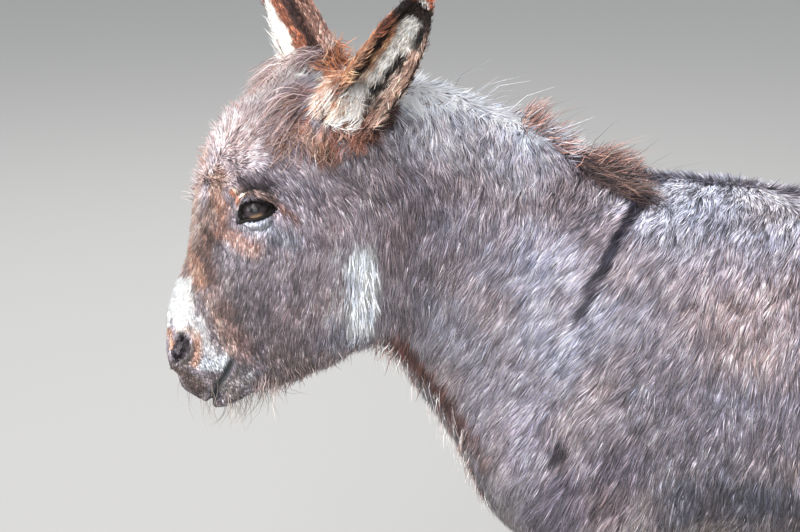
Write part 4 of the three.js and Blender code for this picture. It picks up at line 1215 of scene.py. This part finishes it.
def triangles_mesh(name: str, points: Array, corners: Array) -> bpy.types.Mesh:
    """A smooth-shaded mesh from arrays of points and of triangles."""
    mesh = bpy.data.meshes.new(name)
    mesh.vertices.add(len(points))
    mesh.vertices.foreach_set("co", points.astype(np.float32).ravel())
    mesh.loops.add(corners.size)
    mesh.loops.foreach_set("vertex_index", corners.astype(np.int32).ravel())
    mesh.polygons.add(len(corners))
    mesh.polygons.foreach_set("loop_start", np.arange(0, corners.size, 3, dtype=np.int32))
    mesh.update(calc_edges=True)
    mesh.shade_smooth()
    return mesh


@dataclass
class SkinSample:
    """The skin's triangles, ready to grow hair on."""

    corners: Array
    points: Array
    normals: Array
    uv: Array
    areas: Array = field(init=False)
    centres: Array = field(init=False)

    def __post_init__(self) -> None:
        """Works out each triangle's area, in square centimetres, and its middle."""
        a, b, c = (self.points[self.corners[:, i]] for i in range(3))
        self.areas = np.linalg.norm(np.cross(b - a, c - a), axis=1) / 200.0
        self.centres = (a + b + c) / 3.0

    @classmethod
    def of(cls, skin: bpy.types.Object) -> "SkinSample":
        """Reads the skin's mesh."""
        mesh = skin.data
        corners = np.empty(len(mesh.loops), np.int32)
        mesh.loops.foreach_get("vertex_index", corners)
        uv = np.empty(len(mesh.loops) * 2, np.float32)
        mesh.uv_layers["OFBake"].data.foreach_get("uv", uv)
        return cls(
            corners.reshape(-1, 3),
            from_withers(coordinates(mesh)),
            point_normals(mesh),
            uv.reshape(-1, 3, 2).astype(float),
        )

    def scatter(
        self, weights: Array, count: int, rng: np.random.Generator
    ) -> tuple[Array, Array, Array]:
        """Random places on the triangles.

        Args:
            weights: how likely each triangle is.
            count: how many places.
            rng: the source of the draws.

        Returns:
            The places, the skin's normals there and their places on the unwrap.
        """
        ladder = np.cumsum(weights)
        chosen = np.searchsorted(ladder, rng.random(count) * ladder[-1])
        chosen = np.minimum(chosen, len(weights) - 1)
        share = rng.random((count, 2))
        share = np.where(share.sum(1, keepdims=True) > 1.0, 1.0 - share, share)
        mix = np.stack([1.0 - share.sum(1), share[:, 0], share[:, 1]], 1)
        ids = self.corners[chosen]
        place = (self.points[ids] * mix[:, :, None]).sum(1)
        normal = unit((self.normals[ids] * mix[:, :, None]).sum(1))
        uv = (self.uv[chosen] * mix[:, :, None]).sum(1)
        return place, normal, uv


@dataclass(frozen=True)
class Stretch:
    """One piece of the coat: where it grows and how finely."""

    name: str
    inside: Array
    share: float = 1.0
    """The share of the lies' density that is grown, with wider tufts for a lower share."""
    rings: int = 0
    """The rings of each tuft's spindle, or 0 for a thin blade."""


@dataclass
class Coat:
    """The coat, in pieces that each cover one stretch of one side."""

    sample: SkinSample
    comb: Comb
    colours: CoatColours
    eyes: Skin
    seed: int = 5
    most: int = 198000
    """The most triangles in a piece."""
    fineness: float = 0.72
    brightness: float = 1.2
    lock: int = 8
    """How many tufts gather into one lock."""
    gather: float = 0.45
    """How far they gather, from 0 for not at all to 1 for one shared tip."""

    BLADE = 4
    SPINDLE = 6
    """The triangles in a tuft of each kind."""
    LEG_TOP = 452.0
    FACE_END, NECK_END, SHOULDER_END, BARREL_END = -272.0, -95.0, 150.0, 430.0
    """Where the coat's pieces meet, as heights from the floor and places behind the withers."""

    def build(self) -> list[bpy.types.Object]:
        """Grows every piece of the coat."""
        centres = self.sample.centres
        growth = self.comb.growth(centres, self._face_normals())
        weights = self.sample.areas * growth.density * self._bare(centres)
        made, total = [], 0
        for number, stretch in enumerate(self._stretches(centres)):
            chance = np.where(stretch.inside, weights, 0.0)
            each = self.BLADE if stretch.rings == 0 else self.SPINDLE
            wanted = int(min(chance.sum() * stretch.share, self.most / each))
            total += wanted * each
            LOG.info("%s: %d tufts of %d", stretch.name, wanted, int(chance.sum()))
            made.append(self._piece(stretch, chance, wanted, np.random.default_rng(self.seed + number)))
        LOG.info("coat: %d triangles", total)
        return made

    def _face_normals(self) -> Array:
        """The middle normal of each triangle of the skin."""
        return unit(self.sample.normals[self.sample.corners].sum(1))

    def _bare(self, points: Array) -> Array:
        """0 where no hair grows: in the lids' opening and along the mouth."""
        keep = np.ones(len(points))
        for side in (1.0, -1.0):
            centre, out, corner, up = self.eyes.eye_axes(side)
            offset = points - centre
            off = self.eyes.lid_opening(offset @ corner, offset @ up)
            keep *= np.where(
                np.linalg.norm(offset, axis=1) < self.eyes.EYE_REACH, ease(3.2, 4.6, off), 1.0
            )
        head = head_places(points)
        mouth = (head[:, 1] > 246.0) & (np.abs(head[:, 2] + 24.0) < 2.5) & (points[:, 1] < -380)
        return keep * ~mouth

    def _stretches(self, points: Array) -> list[Stretch]:
        """The coat's pieces, by which of the given places each one covers."""
        x, y, z = points.T
        head = head_places(points)
        ear = np.any([e.holds(points) for e in EARS], axis=0)
        left, leg, tail = x >= 0.0, z < self.LEG_TOP, (y > 694.0) & (np.abs(x) < 40.0) & (z < 815.0)
        face = (y < self.FACE_END) & (head[:, 1] > -60.0) & ~ear
        neck = (y >= self.FACE_END) & (y < self.NECK_END)
        shoulder = (y >= self.NECK_END) & (y < self.SHOULDER_END)
        barrel = (y >= self.SHOULDER_END) & (y < self.BARREL_END)
        trunk = ~face & ~ear & ~leg & ~tail
        muzzle, high = head[:, 1] > 200.0, z >= 900.0
        stretches = [
            Stretch("coat_ears", ear, 1.0, 1),
            Stretch("coat_legs", leg & ~face & ~tail, 0.38),
            Stretch("coat_tail", tail & ~ear, 0.7),
            Stretch("coat_muzzle", face & muzzle, 1.15),
        ]
        for word, side, fine, body in (("left", left, 1.85, 0.8), ("right", ~left, 0.55, 0.5)):
            parts = (
                ("face", face & ~high & ~muzzle, fine),
                ("crown", face & high, fine),
                ("neck", trunk & neck, fine),
                ("shoulder", trunk & shoulder, fine),
                ("barrel", trunk & barrel, body),
                ("haunch", trunk & (y >= self.BARREL_END), body),
            )
            stretches += [
                Stretch(f"coat_{part}_{word}", where & side, share) for part, where, share in parts
            ]
        return stretches

    def _gathered(self, roots: Array, reach: Array) -> tuple[Array, Array]:
        """Gathers the tufts into pointed locks, each round one tuft that leads it.

        Args:
            roots: the tufts' roots.
            reach: the way from each root to its tip.

        Returns:
            The number of each tuft's leader, and the way to its tip once it is gathered.
        """
        leaders = max(len(roots) // self.lock, 1)
        tree = KDTree(leaders)
        for number in range(leaders):
            tree.insert(roots[number], number)
        tree.balance()
        near = np.array([tree.find(root)[1] for root in roots])
        tips = roots + reach
        return near, reach + (tips[near] - tips) * self.gather

    def _piece(
        self, stretch: Stretch, chance: Array, count: int, rng: np.random.Generator
    ) -> bpy.types.Object:
        """Grows one piece of the coat.

        Args:
            stretch: what the piece is.
            chance: how likely each of the skin's triangles is to hold a root.
            count: how many tufts to grow.
            rng: the source of the draws.
        """
        roots, normals, uv = self.sample.scatter(chance, count, rng)
        growth = self.comb.growth(roots, normals)
        clouds = self.colours.clouds
        # locks of the coat part and meet, so near tufts lean the same way
        lean = (clouds.at(roots, 14.0) - 0.5) * 1.5 + (clouds.at(roots, 5.0, 7.0) - 0.5) * 0.9
        lean = lean * (0.2 + 0.6 * growth.curl) + rng.normal(0.0, 0.12, count)
        side = np.cross(growth.flow, normals)
        flow = unit(growth.flow * np.cos(lean)[:, None] + side * np.sin(lean)[:, None])
        length = growth.length * rng.uniform(0.65, 1.2, count)
        leader, reach = self._gathered(roots, flow * length[:, None])
        length = np.minimum(np.linalg.norm(reach, axis=1), 1.25 * length)
        flow = square_to(reach, normals)
        seen = roots + normals * growth.depth[:, None] + flow * (growth.length * 0.55)[:, None]
        colour = self.colours.at(seen, normals)
        clump = clouds.at(roots, 7.0, 13.0) + 0.5 * clouds.at(roots, 3.0, 2.0)
        value = np.exp(rng.normal(0.0, 0.5, count) + rng.normal(0.0, 0.24, count)[leader])
        value = value * (0.25 + 0.9 * clump)
        value *= 0.7 + 0.6 * clouds.at(roots, 15.0, 9.0)
        # a sparse stretch has wider tufts, which differ less
        sparse = math.sqrt(min(stretch.share, 1.0))
        value = 0.85 + (value - 0.85) * sparse
        pale = paleness(colour)
        value = value + (1.2 - value) * 0.55 * pale
        warm = rng.normal(0.0, 0.05, count) + 0.16 * (clouds.at(roots, 40.0, 4.0) - 0.5)
        tint = np.stack([1.0 + warm, np.ones(count), 1.0 - warm], 1)
        width = growth.width * self.fineness * rng.uniform(0.7, 1.3, count) / sparse
        tufts = Tufts(
            roots, normals, flow, length, width,
            growth.rise * rng.uniform(0.5, 1.5, count), growth.curl,
            colour * value[:, None] * tint * self.brightness, uv, rings=stretch.rings,
        )  # fmt: skip
        return add_object(stretch.name, tufts.mesh(stretch.name, rng), FUR_FINISH)


# ------------------------------------------------------------------ mane, tail and whiskers


@dataclass(frozen=True)
class Band:
    """A band of long locks that grow on the skin near a path, the same on both sides."""

    name: str
    path: tuple[Triple, ...]
    reach: float
    count: int
    flow: Triple
    length: tuple[float, float]
    rise: tuple[float, float]
    curl: float
    colours: tuple[str, ...]
    width: float = 1.5
    rings: int = 3
    left_only: bool = False
    droop: float = 0.0
    bright: float = 0.98


BANDS = (
    Band("crown_arch", ((12, -324, 980), (26, -338, 978), (36, -354, 966)), 18, 900,
         (0.35, -0.85, 0.0), (38, 66), (12, 34), 0.5, ("a58f95", "b9a4a2", "8f736b", "cdb7b2"),
         width=1.3, rings=5, droop=0.6),
    Band("crown_locks", ((32, -360, 966), (47, -367, 947), (57, -364, 930)), 15, 760,
         (0.15, -0.35, -0.9), (22, 40), (10, 30), 0.9, ("87767b", "95786e", "84604f", "a99189")),
    Band("ear_orange", ((20, -322, 976), (42, -318, 986), (64, -314, 986), (72, -318, 970)), 14, 1000,
         (0.2, -0.8, -0.5), (16, 32), (14, 34), 0.6, ("cf9070", "bb7a58", "dfae92", "a9694b")),
    Band("ear_curls", ((60, -358, 934), (68, -342, 932), (72, -332, 924)), 12, 560,
         (0.2, -0.1, -0.97), (13, 24), (12, 36), 1.9, ("ac8d80", "bda092", "90756a", "6f554c")),
    Band("ear_rust", ((76, -312, 936), (80, -294, 938), (66, -276, 930)), 13, 620,
         (0.25, 0.0, -0.97), (13, 25), (12, 36), 1.3, ("86594a", "9f7262", "6b4a40", "b08a7c")),
    Band("withers_lock", ((14, -78, 895), (30, -50, 880), (42, -16, 866)), 12, 560,
         (0.2, 0.95, -0.2), (24, 46), (6, 26), 0.7, ("3b2e30", "5b4744", "2c2226", "7f6258"),
         left_only=True),
    Band("ear_plume", ((74, -312, 976), (82, -298, 972), (88, -288, 966)), 16, 620,
         (0.25, -0.5, -0.8), (18, 36), (8, 26), 0.4, ("f8f2ec", "ebdfd5", "d3bba9"),
         left_only=True, bright=1.3),
    Band("throat_locks", ((36, -270, 694), (40, -230, 655), (50, -192, 606), (60, -170, 560)), 20, 900,
         (0.1, -0.3, -0.93), (18, 36), (10, 34), 0.6,
         ("8f7670", "5e3f36", "ded8d6", "cfc6c4", "7d625a")),
    Band("throat_streak", ((76, -294, 806), (72, -290, 752), (62, -294, 714)), 14, 900,
         (0.1, 0.0, -0.98), (18, 30), (8, 22), 0.1, ("eef2fa", "d9dfea", "c3c9d6", "a9adb8"),
         width=1.2, bright=1.15),
    Band("throat_fluff", ((0, -280, 676), (0, -225, 600), (0, -190, 545)), 26, 700,
         (0.0, -0.3, -0.95), (22, 40), (16, 44), 0.6, ("e6e1df", "cfc7c4", "b5a6a2")),
    Band("jaw_locks", ((54, -312, 698), (46, -356, 668), (38, -398, 650)), 13, 620,
         (0.0, 0.2, -0.98), (12, 24), (12, 34), 0.5, ("9c8a88", "6c5d5c", "b7a39d", "7d6a66"),
         width=1.2),
    Band("forehead_fluff", ((0, -463, 860), (0, -450, 905), (0, -425, 948), (0, -390, 972)), 24, 1400,
         (0.0, -0.2, 0.2), (8, 16), (40, 70), 0.7, ("c9bab8", "b8a9ab", "a39092", "b98f80"), width=0.9),
)  # fmt: skip


@dataclass
class LongHair:
    """The mane, tail switch, lashes, whiskers and the bands of long locks."""

    sample: SkinSample
    colours: CoatColours
    eyes: Skin
    seed: int = 40
    mane_locks: int = 4200
    switch_locks: int = 1500
    lash_hairs: int = 420
    whisker_hairs: int = 190

    def build(self) -> None:
        """Grows every piece of long hair."""
        self._mane()
        self._switch()
        for number, band in enumerate(BANDS):
            self._band(band, np.random.default_rng(self.seed + 10 + number))
        self._lashes()
        self._whiskers()

    def _piece(self, tufts: Tufts, name: str, rng: np.random.Generator) -> bpy.types.Object:
        """Puts locks in the scene as one piece."""
        return add_object(name, tufts.mesh(name, rng), LONG_HAIR_FINISH)

    def _band(self, band: Band, rng: np.random.Generator) -> None:
        """Grows one band of locks."""
        centres = self.sample.centres.copy()
        if not band.left_only:
            centres[:, 0] = np.abs(centres[:, 0])
        near = path_distance(centres, band.path) < band.reach
        roots, normals, uv = self.sample.scatter(np.where(near, self.sample.areas, 0.0), band.count, rng)
        side = np.where(roots[:, :1] < 0, -1.0, 1.0)
        swirl = (self.colours.clouds.at(roots, 13.0, 21.0) - 0.5) * (0.6 + band.curl)
        flow = np.array(band.flow) * np.concatenate([side, np.ones((band.count, 2))], 1)
        flow = flow - normals * (flow * normals).sum(1, keepdims=True)
        flow = unit(flow + rng.normal(0, 0.12, flow.shape))
        flow = unit(flow * np.cos(swirl)[:, None] + np.cross(flow, normals) * np.sin(swirl)[:, None])
        codes = np.array([linear(code) for code in band.colours])
        pick = self.colours.clouds.at(roots, 8.0, 2.0) * 1.6 - 0.3 + rng.normal(0, 0.15, band.count)
        colour = codes[np.clip((pick * len(codes)).astype(int), 0, len(codes) - 1)]
        colour = varied(colour * band.bright, rng, 0.36)
        tufts = Tufts(
            roots, normals, flow, rng.uniform(*band.length, band.count),
            np.full(band.count, band.width), rng.uniform(*band.rise, band.count),
            np.full(band.count, band.curl), colour, uv,
            rings=band.rings, droop=band.droop, shade=(0.45, 1.3),
        )  # fmt: skip
        self._piece(tufts, band.name, rng)

    def _mane(self) -> None:
        """A low upright mane along the crest, with a dark clump that falls at the withers."""
        rng = np.random.default_rng(self.seed)
        crest = np.array(
            [(-322, 966), (-262, 968), (-200, 955), (-132, 927), (-80, 900), (-30, 876), (26, 860)], float
        )
        count = self.mane_locks
        share = rng.random(count)
        spot = share * (len(crest) - 1)
        low = np.minimum(spot.astype(int), len(crest) - 2)
        line = crest[low] + (crest[low + 1] - crest[low]) * (spot - low)[:, None]
        sideways = rng.normal(0.0, 9.0, count)
        roots = np.stack([sideways, line[:, 0], line[:, 1] - 8.0 - 0.14 * np.abs(sideways)], 1)
        normals = unit(np.stack([sideways * 0.05, np.full(count, -0.15), np.ones(count)], 1))
        clump = Clouds(3).at(roots, 17.0)
        lean = (clump - 0.5) * 2.0
        sway, sweep = rng.normal(0, 0.3, count), rng.normal(0, 0.25, count)
        flow = np.stack([lean + sway, 0.8 + sweep, np.full(count, 0.2)], 1)
        flow = square_to(flow, normals)

        def bump(middle: float, half: float) -> Array:
            """A smooth rise round one place along the crest."""
            return bell(share, middle, half)

        def chosen(code: str, chance: Array) -> None:
            """Gives the colour to hairs drawn by chance."""
            colour[rng.random(count) < chance] = linear(code)

        tall = 12.0 + 22.0 * bump(0.53, 0.045) + 14.0 * bump(0.62, 0.04) + 22.0 * bump(0.79, 0.08)
        rise = 34.0 + 26.0 * bump(0.53, 0.05) - 14.0 * bump(0.8, 0.08) - 14.0 * ease(0.88, 0.96, share)
        colour = np.tile(linear("c9ccdb"), (count, 1))
        chosen("8d8893", np.full(count, 0.25))
        chosen("7a645f", 0.14 + 0.6 * bump(0.53, 0.04) + 0.8 * ease(0.66, 0.74, share))
        tan = 0.05 + 0.35 * bump(0.53, 0.05) + 0.25 * bump(0.62, 0.05) + 0.36 * bump(0.77, 0.08)
        chosen("b5877a", tan)
        chosen("4b444b", ease(0.86, 0.94, share))
        colour = varied(colour, rng, 0.45, 0.05)
        length = tall * rng.uniform(0.6, 1.5, count)
        wisp = (rng.random(count) < 0.02) & (share > 0.25)
        length = np.where(wisp, rng.uniform(45.0, 80.0, count), length)
        tufts = Tufts(
            roots, normals, flow, length, np.where(wisp, 0.8, 1.5), np.where(wisp, 24.0, rise),
            np.full(count, 0.6), colour, self._near_uv(roots), rings=3, shade=(0.5, 1.35),
        )  # fmt: skip
        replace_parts(self._piece(tufts, "mane_hair", rng), "mane")

    def _switch(self) -> None:
        """The dark tuft of long hair at the tail's end."""
        rng = np.random.default_rng(self.seed + 1)
        count = self.switch_locks
        drop = rng.random(count) ** 1.3
        angle = rng.uniform(0, 2 * math.pi, count)
        out = np.stack([np.cos(angle), np.sin(angle), np.zeros(count)], 1)
        spine = np.stack([np.zeros(count), 741.0 - 8.0 * drop, 600.0 - 120.0 * drop], 1)
        roots = spine + out * 9.0
        flow = unit(np.stack([out[:, 0] * 0.12, out[:, 1] * 0.12 - 0.05, np.full(count, -1.0)], 1))
        normals = square_to(out, flow)
        length = np.minimum(rng.uniform(90.0, 190.0, count), (roots[:, 2] - 356.0))
        colour = varied(np.tile(linear("4a3a37"), (count, 1)), rng, 0.35)
        tufts = Tufts(
            roots, normals, flow, length, np.full(count, 2.6), rng.uniform(1.0, 5.0, count),
            np.full(count, 0.25), colour, self._near_uv(roots), rings=5, shade=(0.7, 1.3),
        )  # fmt: skip
        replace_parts(self._piece(tufts, "tail_hair", rng), "tail_switch")

    def _lashes(self) -> None:
        """Short dark lashes on the upper lids."""
        rng = np.random.default_rng(self.seed + 2)
        centres, chance = self.sample.centres, np.zeros(len(self.sample.centres))
        for side in (1.0, -1.0):
            middle, _, corner, up = self.eyes.eye_axes(side)
            offset = centres - middle
            u, v = offset @ corner, offset @ up
            off = self.eyes.lid_opening(u, v)
            lid = (np.linalg.norm(offset, axis=1) < 30.0) & (off > 0.3) & (off < 1.8) & (v > -3.0)
            chance += np.where(lid, self.sample.areas, 0.0)
        count = self.lash_hairs
        roots, normals, uv = self.sample.scatter(chance, count, rng)
        flow = np.stack([0.6 * np.sign(roots[:, 0]), np.full(count, -0.1), np.full(count, -0.55)], 1)
        flow = unit(flow + rng.normal(0, 0.2, flow.shape))
        flow = square_to(flow, normals)
        colour = np.tile(linear("120e0d"), (count, 1))
        tufts = Tufts(
            roots, normals, flow, rng.uniform(6.0, 11.0, count), np.full(count, 0.55),
            rng.uniform(15.0, 45.0, count), np.full(count, 0.3), colour, uv, rings=2,
        )  # fmt: skip
        self._piece(tufts, "lashes", rng)

    def _whiskers(self) -> None:
        """Fine whiskers on the lips and chin."""
        rng = np.random.default_rng(self.seed + 3)
        head = head_places(self.sample.centres)
        chin = (head[:, 1] > 225) & (head[:, 2] < -40) & (self.sample.centres[:, 1] < -380)
        lip = (head[:, 1] > 262) & (head[:, 2] < 10) & (self.sample.centres[:, 1] < -380)
        count = self.whisker_hairs
        roots, normals, uv = self.sample.scatter(self.sample.areas * (chin * 3.0 + lip), count, rng)
        flow = unit(np.tile(np.array([[0.0, 0.15, -1.0]]), (count, 1)) + rng.normal(0, 0.25, (count, 3)))
        flow = square_to(flow, normals)
        colour = varied(np.tile(linear("8d8078"), (count, 1)), rng, 0.4)
        tufts = Tufts(
            roots, normals, flow, rng.uniform(16.0, 50.0, count), np.full(count, 0.55),
            rng.uniform(25.0, 60.0, count), np.full(count, 0.3), colour, uv, rings=4, flat=1.0,
        )  # fmt: skip
        self._piece(tufts, "whiskers", rng)

    def _near_uv(self, roots: Array) -> Array:
        """The unwrap's place of the triangle nearest to each root."""
        choice = np.random.default_rng(9).choice(len(self.sample.centres), 6000, replace=False)
        centres = self.sample.centres[choice]
        nearest = np.empty(len(roots), int)
        for start in range(0, len(roots), 500):
            part = roots[start : start + 500]
            nearest[start : start + 500] = ((part[:, None] - centres[None]) ** 2).sum(2).argmin(1)
        return self.sample.uv[choice[nearest]].mean(1)


# ------------------------------------------------------------------ eyes and hooves


@dataclass
class Eyes:
    """Two dark wet eyes, each with a clear bulge over a level pupil."""

    skin: Skin
    bulge: float = 1.1
    iris: float = 11.5
    pupil: tuple[float, float] = (6.8, 3.8)
    """The pupil's half width and half height."""
    turn: float = 17.0
    """How many degrees the gaze turns outward from the socket's axis."""

    def build(self) -> None:
        """Builds both eyes."""
        for word, side in (("left", 1.0), ("right", -1.0)):
            self._eye(f"eye_{word}", side)

    def _eye(self, name: str, side: float) -> None:
        """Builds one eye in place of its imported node."""
        centre, out, corner, up = Skin.eye_axes(side)
        turn = math.radians(self.turn)
        gaze = out * math.cos(turn) + corner * math.sin(turn)
        level = corner * math.cos(turn) - out * math.sin(turn)
        work = bmesh.new()
        bmesh.ops.create_uvsphere(work, u_segments=64, v_segments=48, radius=self.skin.eye_radius * MM)
        for vertex in work.verts:
            off = math.hypot(vertex.co.x, vertex.co.y) / MM
            if vertex.co.z > 0:
                dome = max(0.0, 1.0 - (off / self.iris) ** 2)
                vertex.co *= 1.0 + self.bulge / self.skin.eye_radius * dome
        across = level * (1.0 if np.cross(level, up) @ gaze > 0 else -1.0)
        axes = Matrix([Vector(across), Vector(up), Vector(gaze)]).transposed()
        place = Matrix.Translation(in_row(tuple(centre))) @ axes.to_4x4()
        bmesh.ops.transform(work, verts=work.verts, matrix=place)
        mesh = made_mesh(work, name)
        mesh.shade_smooth()
        mesh.uv_layers.new(name="OFBake")
        offset = from_withers(coordinates(mesh)) - centre
        u, v, w = offset @ level, offset @ up, offset @ gaze
        off = np.hypot(u, v)
        colour = np.tile(linear("1d1512"), (len(u), 1))
        iris = (1.0 - ease(self.iris - 0.8, self.iris + 0.6, off)) * (w > 0)
        colour = over(colour, "30262b", iris)
        rim = iris * ease(0.35, 0.75, -v / self.iris) * (1.0 - ease(0.3, 0.8, np.abs(u) / self.iris))
        colour = over(colour, "8f7458", rim)
        pupil = (1.0 - ease(0.75, 1.05, np.hypot(u / self.pupil[0], v / self.pupil[1]))) * (w > 0)
        colour = over(colour, "050404", pupil)
        set_tone(mesh, colour)
        piece = add_object(name + "_ball", mesh, EYE_FINISH)
        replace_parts(piece, name)


@dataclass
class Hooves:
    """Four horn hooves with growth rings, on flat soles."""

    height: float = 62.0
    length: float = 88.0
    width: float = 72.0
    coronet: float = 48.0
    segments: int = 64
    rows: int = 18

    SQUARE = 0.88
    """The power that rounds the sole's outline: 1 is an ellipse, and less is squarer."""
    HEEL = 0.8
    """How far the heel reaches, as a share of the toe's reach."""

    def build(self) -> None:
        """Builds the hoof in place of each packed hoof node."""
        for name in ("hoof_fore_left", "hoof_fore_right", "hoof_hind_left", "hoof_hind_right"):
            low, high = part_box(name)
            self._hoof(name, (low.x + high.x) / 2 / MM, low.y / MM + self.length * 0.5)

    def _hoof(self, name: str, x: float, y: float) -> None:
        """Builds one hoof round the middle of its sole."""
        work = bmesh.new()
        bmesh.ops.create_cone(
            work, cap_ends=True, segments=self.segments, radius1=1.0, radius2=1.0, depth=1.0
        )
        upright = [e for e in work.edges if abs(e.verts[0].co.z - e.verts[1].co.z) > 0.5]
        bmesh.ops.subdivide_edges(work, edges=upright, cuts=self.rows)
        for vertex in work.verts:
            share = vertex.co.z + 0.5
            angle = math.atan2(vertex.co.x, vertex.co.y)
            scale, back = self._level(share)
            heel = self.HEEL if math.cos(angle) > 0 else 1.0
            across, ahead = math.sin(angle), math.cos(angle)
            across = math.copysign(abs(across) ** self.SQUARE, across)
            ahead = math.copysign(abs(ahead) ** self.SQUARE, ahead)
            vertex.co.x = (x + across * self.width * scale / 2) * MM
            vertex.co.y = (y + back + ahead * self.length * scale * heel / 2) * MM
            vertex.co.z = share * self.height * MM
        plane = Vector((0.0, 0.3, 0.954)).normalized()
        middle = Vector((x, y + 4.0, self.coronet)) * MM
        bmesh.ops.bisect_plane(
            work, geom=[*work.verts, *work.edges, *work.faces], dist=1e-6,
            plane_co=middle, plane_no=plane, clear_outer=True,
        )  # fmt: skip
        bmesh.ops.holes_fill(work, edges=[e for e in work.edges if e.is_boundary], sides=0)
        mesh = made_mesh(work, name)
        mesh.shade_smooth()
        mesh.uv_layers.new(name="OFBake")
        points = coordinates(mesh)
        rings = 0.5 + 0.5 * np.sin(points[:, 2] / MM * 1.1 + 2.0 * np.sin(points[:, 1] * 60))
        colour = linear("463f3b") + (linear("6b6058") - linear("463f3b")) * rings[:, None] * 0.6
        colour = over(colour, "7c7068", 0.5 * (1.0 - ease(0.0, 9.0, points[:, 2] / MM)))
        set_tone(mesh, colour)
        piece = add_object(name + "_horn", mesh, HORN_FINISH)
        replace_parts(piece, name)

    def _level(self, share: float) -> tuple[float, float]:
        """The hoof's size and how far it has leaned back, at a share of its height."""
        levels = ((0.0, 0.97, 0.0), (0.048, 1.0, 0.0), (0.6, 0.93, 8.0), (1.0, 0.85, 15.0))
        for (low, size, back), (high, next_size, next_back) in zip(levels, levels[1:]):
            if share <= high:
                mix = (share - low) / (high - low)
                ripple = 0.006 * math.sin(share * 46.0)
                scale = size + (next_size - size) * mix + ripple * (share > 0.05)
                return scale, back + (next_back - back) * mix
        return levels[-1][1:]


# ------------------------------------------------------------------ stage


@dataclass
class Studio:
    """A pale floor, soft light and a long lens level with the head's height."""

    azimuth: float = 90.0
    elevation: float = 17.0
    distance: float = 2.6
    lens: float = 110.3
    aim: Triple = (0.0, -254.0, 768.0)

    FLOOR_PAINT = (0.35, 0.342, 0.33, 1.0)
    FLOOR_HALF = 30.0
    SKY_COLOUR = (0.93, 0.96, 1.0, 1.0)
    SKY_STRENGTH = 0.95
    LIT_PLACE = (0.0, -0.3, 0.7)
    """The place between head and shoulders that every light faces, in metres."""

    def build(self) -> None:
        """Makes the floor, the lights, the sky and the camera."""
        work = bmesh.new()
        bmesh.ops.create_grid(work, x_segments=1, y_segments=1, size=self.FLOOR_HALF)
        floor = in_scene("floor", made_mesh(work, "floor"))
        paint = bpy.data.materials.new("floor_paint")
        paint.use_nodes = True
        shader = paint.node_tree.nodes["Principled BSDF"]
        shader.inputs["Base Color"].default_value = self.FLOOR_PAINT
        shader.inputs["Roughness"].default_value = 0.9
        floor.data.materials.append(paint)
        self._light("key", (2.8, -1.6, 2.7), 136.0, 2.2)
        self._light("crest", (-2.6, -0.6, 3.2), 105.0, 2.4)
        self._light("front", (1.8, -3.6, 1.2), 68.0, 2.0)
        self._light("low", (3.8, -1.0, 1.3), 66.0, 2.4)
        world = bpy.data.worlds.new("sky")
        bpy.context.scene.world = world
        world.use_nodes = True
        sky = world.node_tree.nodes["Background"]
        sky.inputs["Color"].default_value = self.SKY_COLOUR
        sky.inputs["Strength"].default_value = self.SKY_STRENGTH
        self._camera()
        bpy.context.scene.view_settings.view_transform = "Standard"

    def _light(self, name: str, place: Triple, power: float, size: float) -> None:
        """Makes a soft square light that faces the head and shoulders."""
        data = bpy.data.lights.new(name, "AREA")
        data.energy, data.size = power, size
        lamp = in_scene(name, data)
        lamp.location = place
        aim = Vector(self.LIT_PLACE)
        lamp.rotation_euler = (aim - lamp.location).to_track_quat("-Z", "Y").to_euler()

    def _camera(self) -> None:
        """Makes the camera, looking at the donkey's left side from a little above."""
        data = bpy.data.cameras.new("camera")
        data.lens, data.sensor_width = self.lens, 36.0
        camera = in_scene("camera", data)
        turn, lift = math.radians(self.azimuth), math.radians(self.elevation)
        flat = math.cos(lift)
        back = Vector((math.sin(turn) * flat, -math.cos(turn) * flat, math.sin(lift)))
        camera.location = in_row(self.aim) + back * self.distance
        camera.rotation_euler = (-back).to_track_quat("-Z", "Y").to_euler()
        bpy.context.scene.camera = camera


# ------------------------------------------------------------------ the whole donkey


def main() -> None:
    """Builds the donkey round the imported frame, piece by piece."""
    logging.basicConfig(level=logging.INFO, format="%(name)s: %(message)s")
    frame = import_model()
    comb, colours = Comb(), CoatColours()
    skin = Skin(frame, comb, colours)
    body = skin.build()
    LOG.info("skin: %d triangles", len(body.data.polygons))
    sample = SkinSample.of(body)
    Coat(sample, comb, colours, skin).build()
    LongHair(sample, colours, skin).build()
    Eyes(skin).build()
    Hooves().build()
    for node in frame["nodes"].values():
        node.hide_render = True
        node.hide_viewport = True
    Studio().build()


if __name__ == "__main__":
    main()
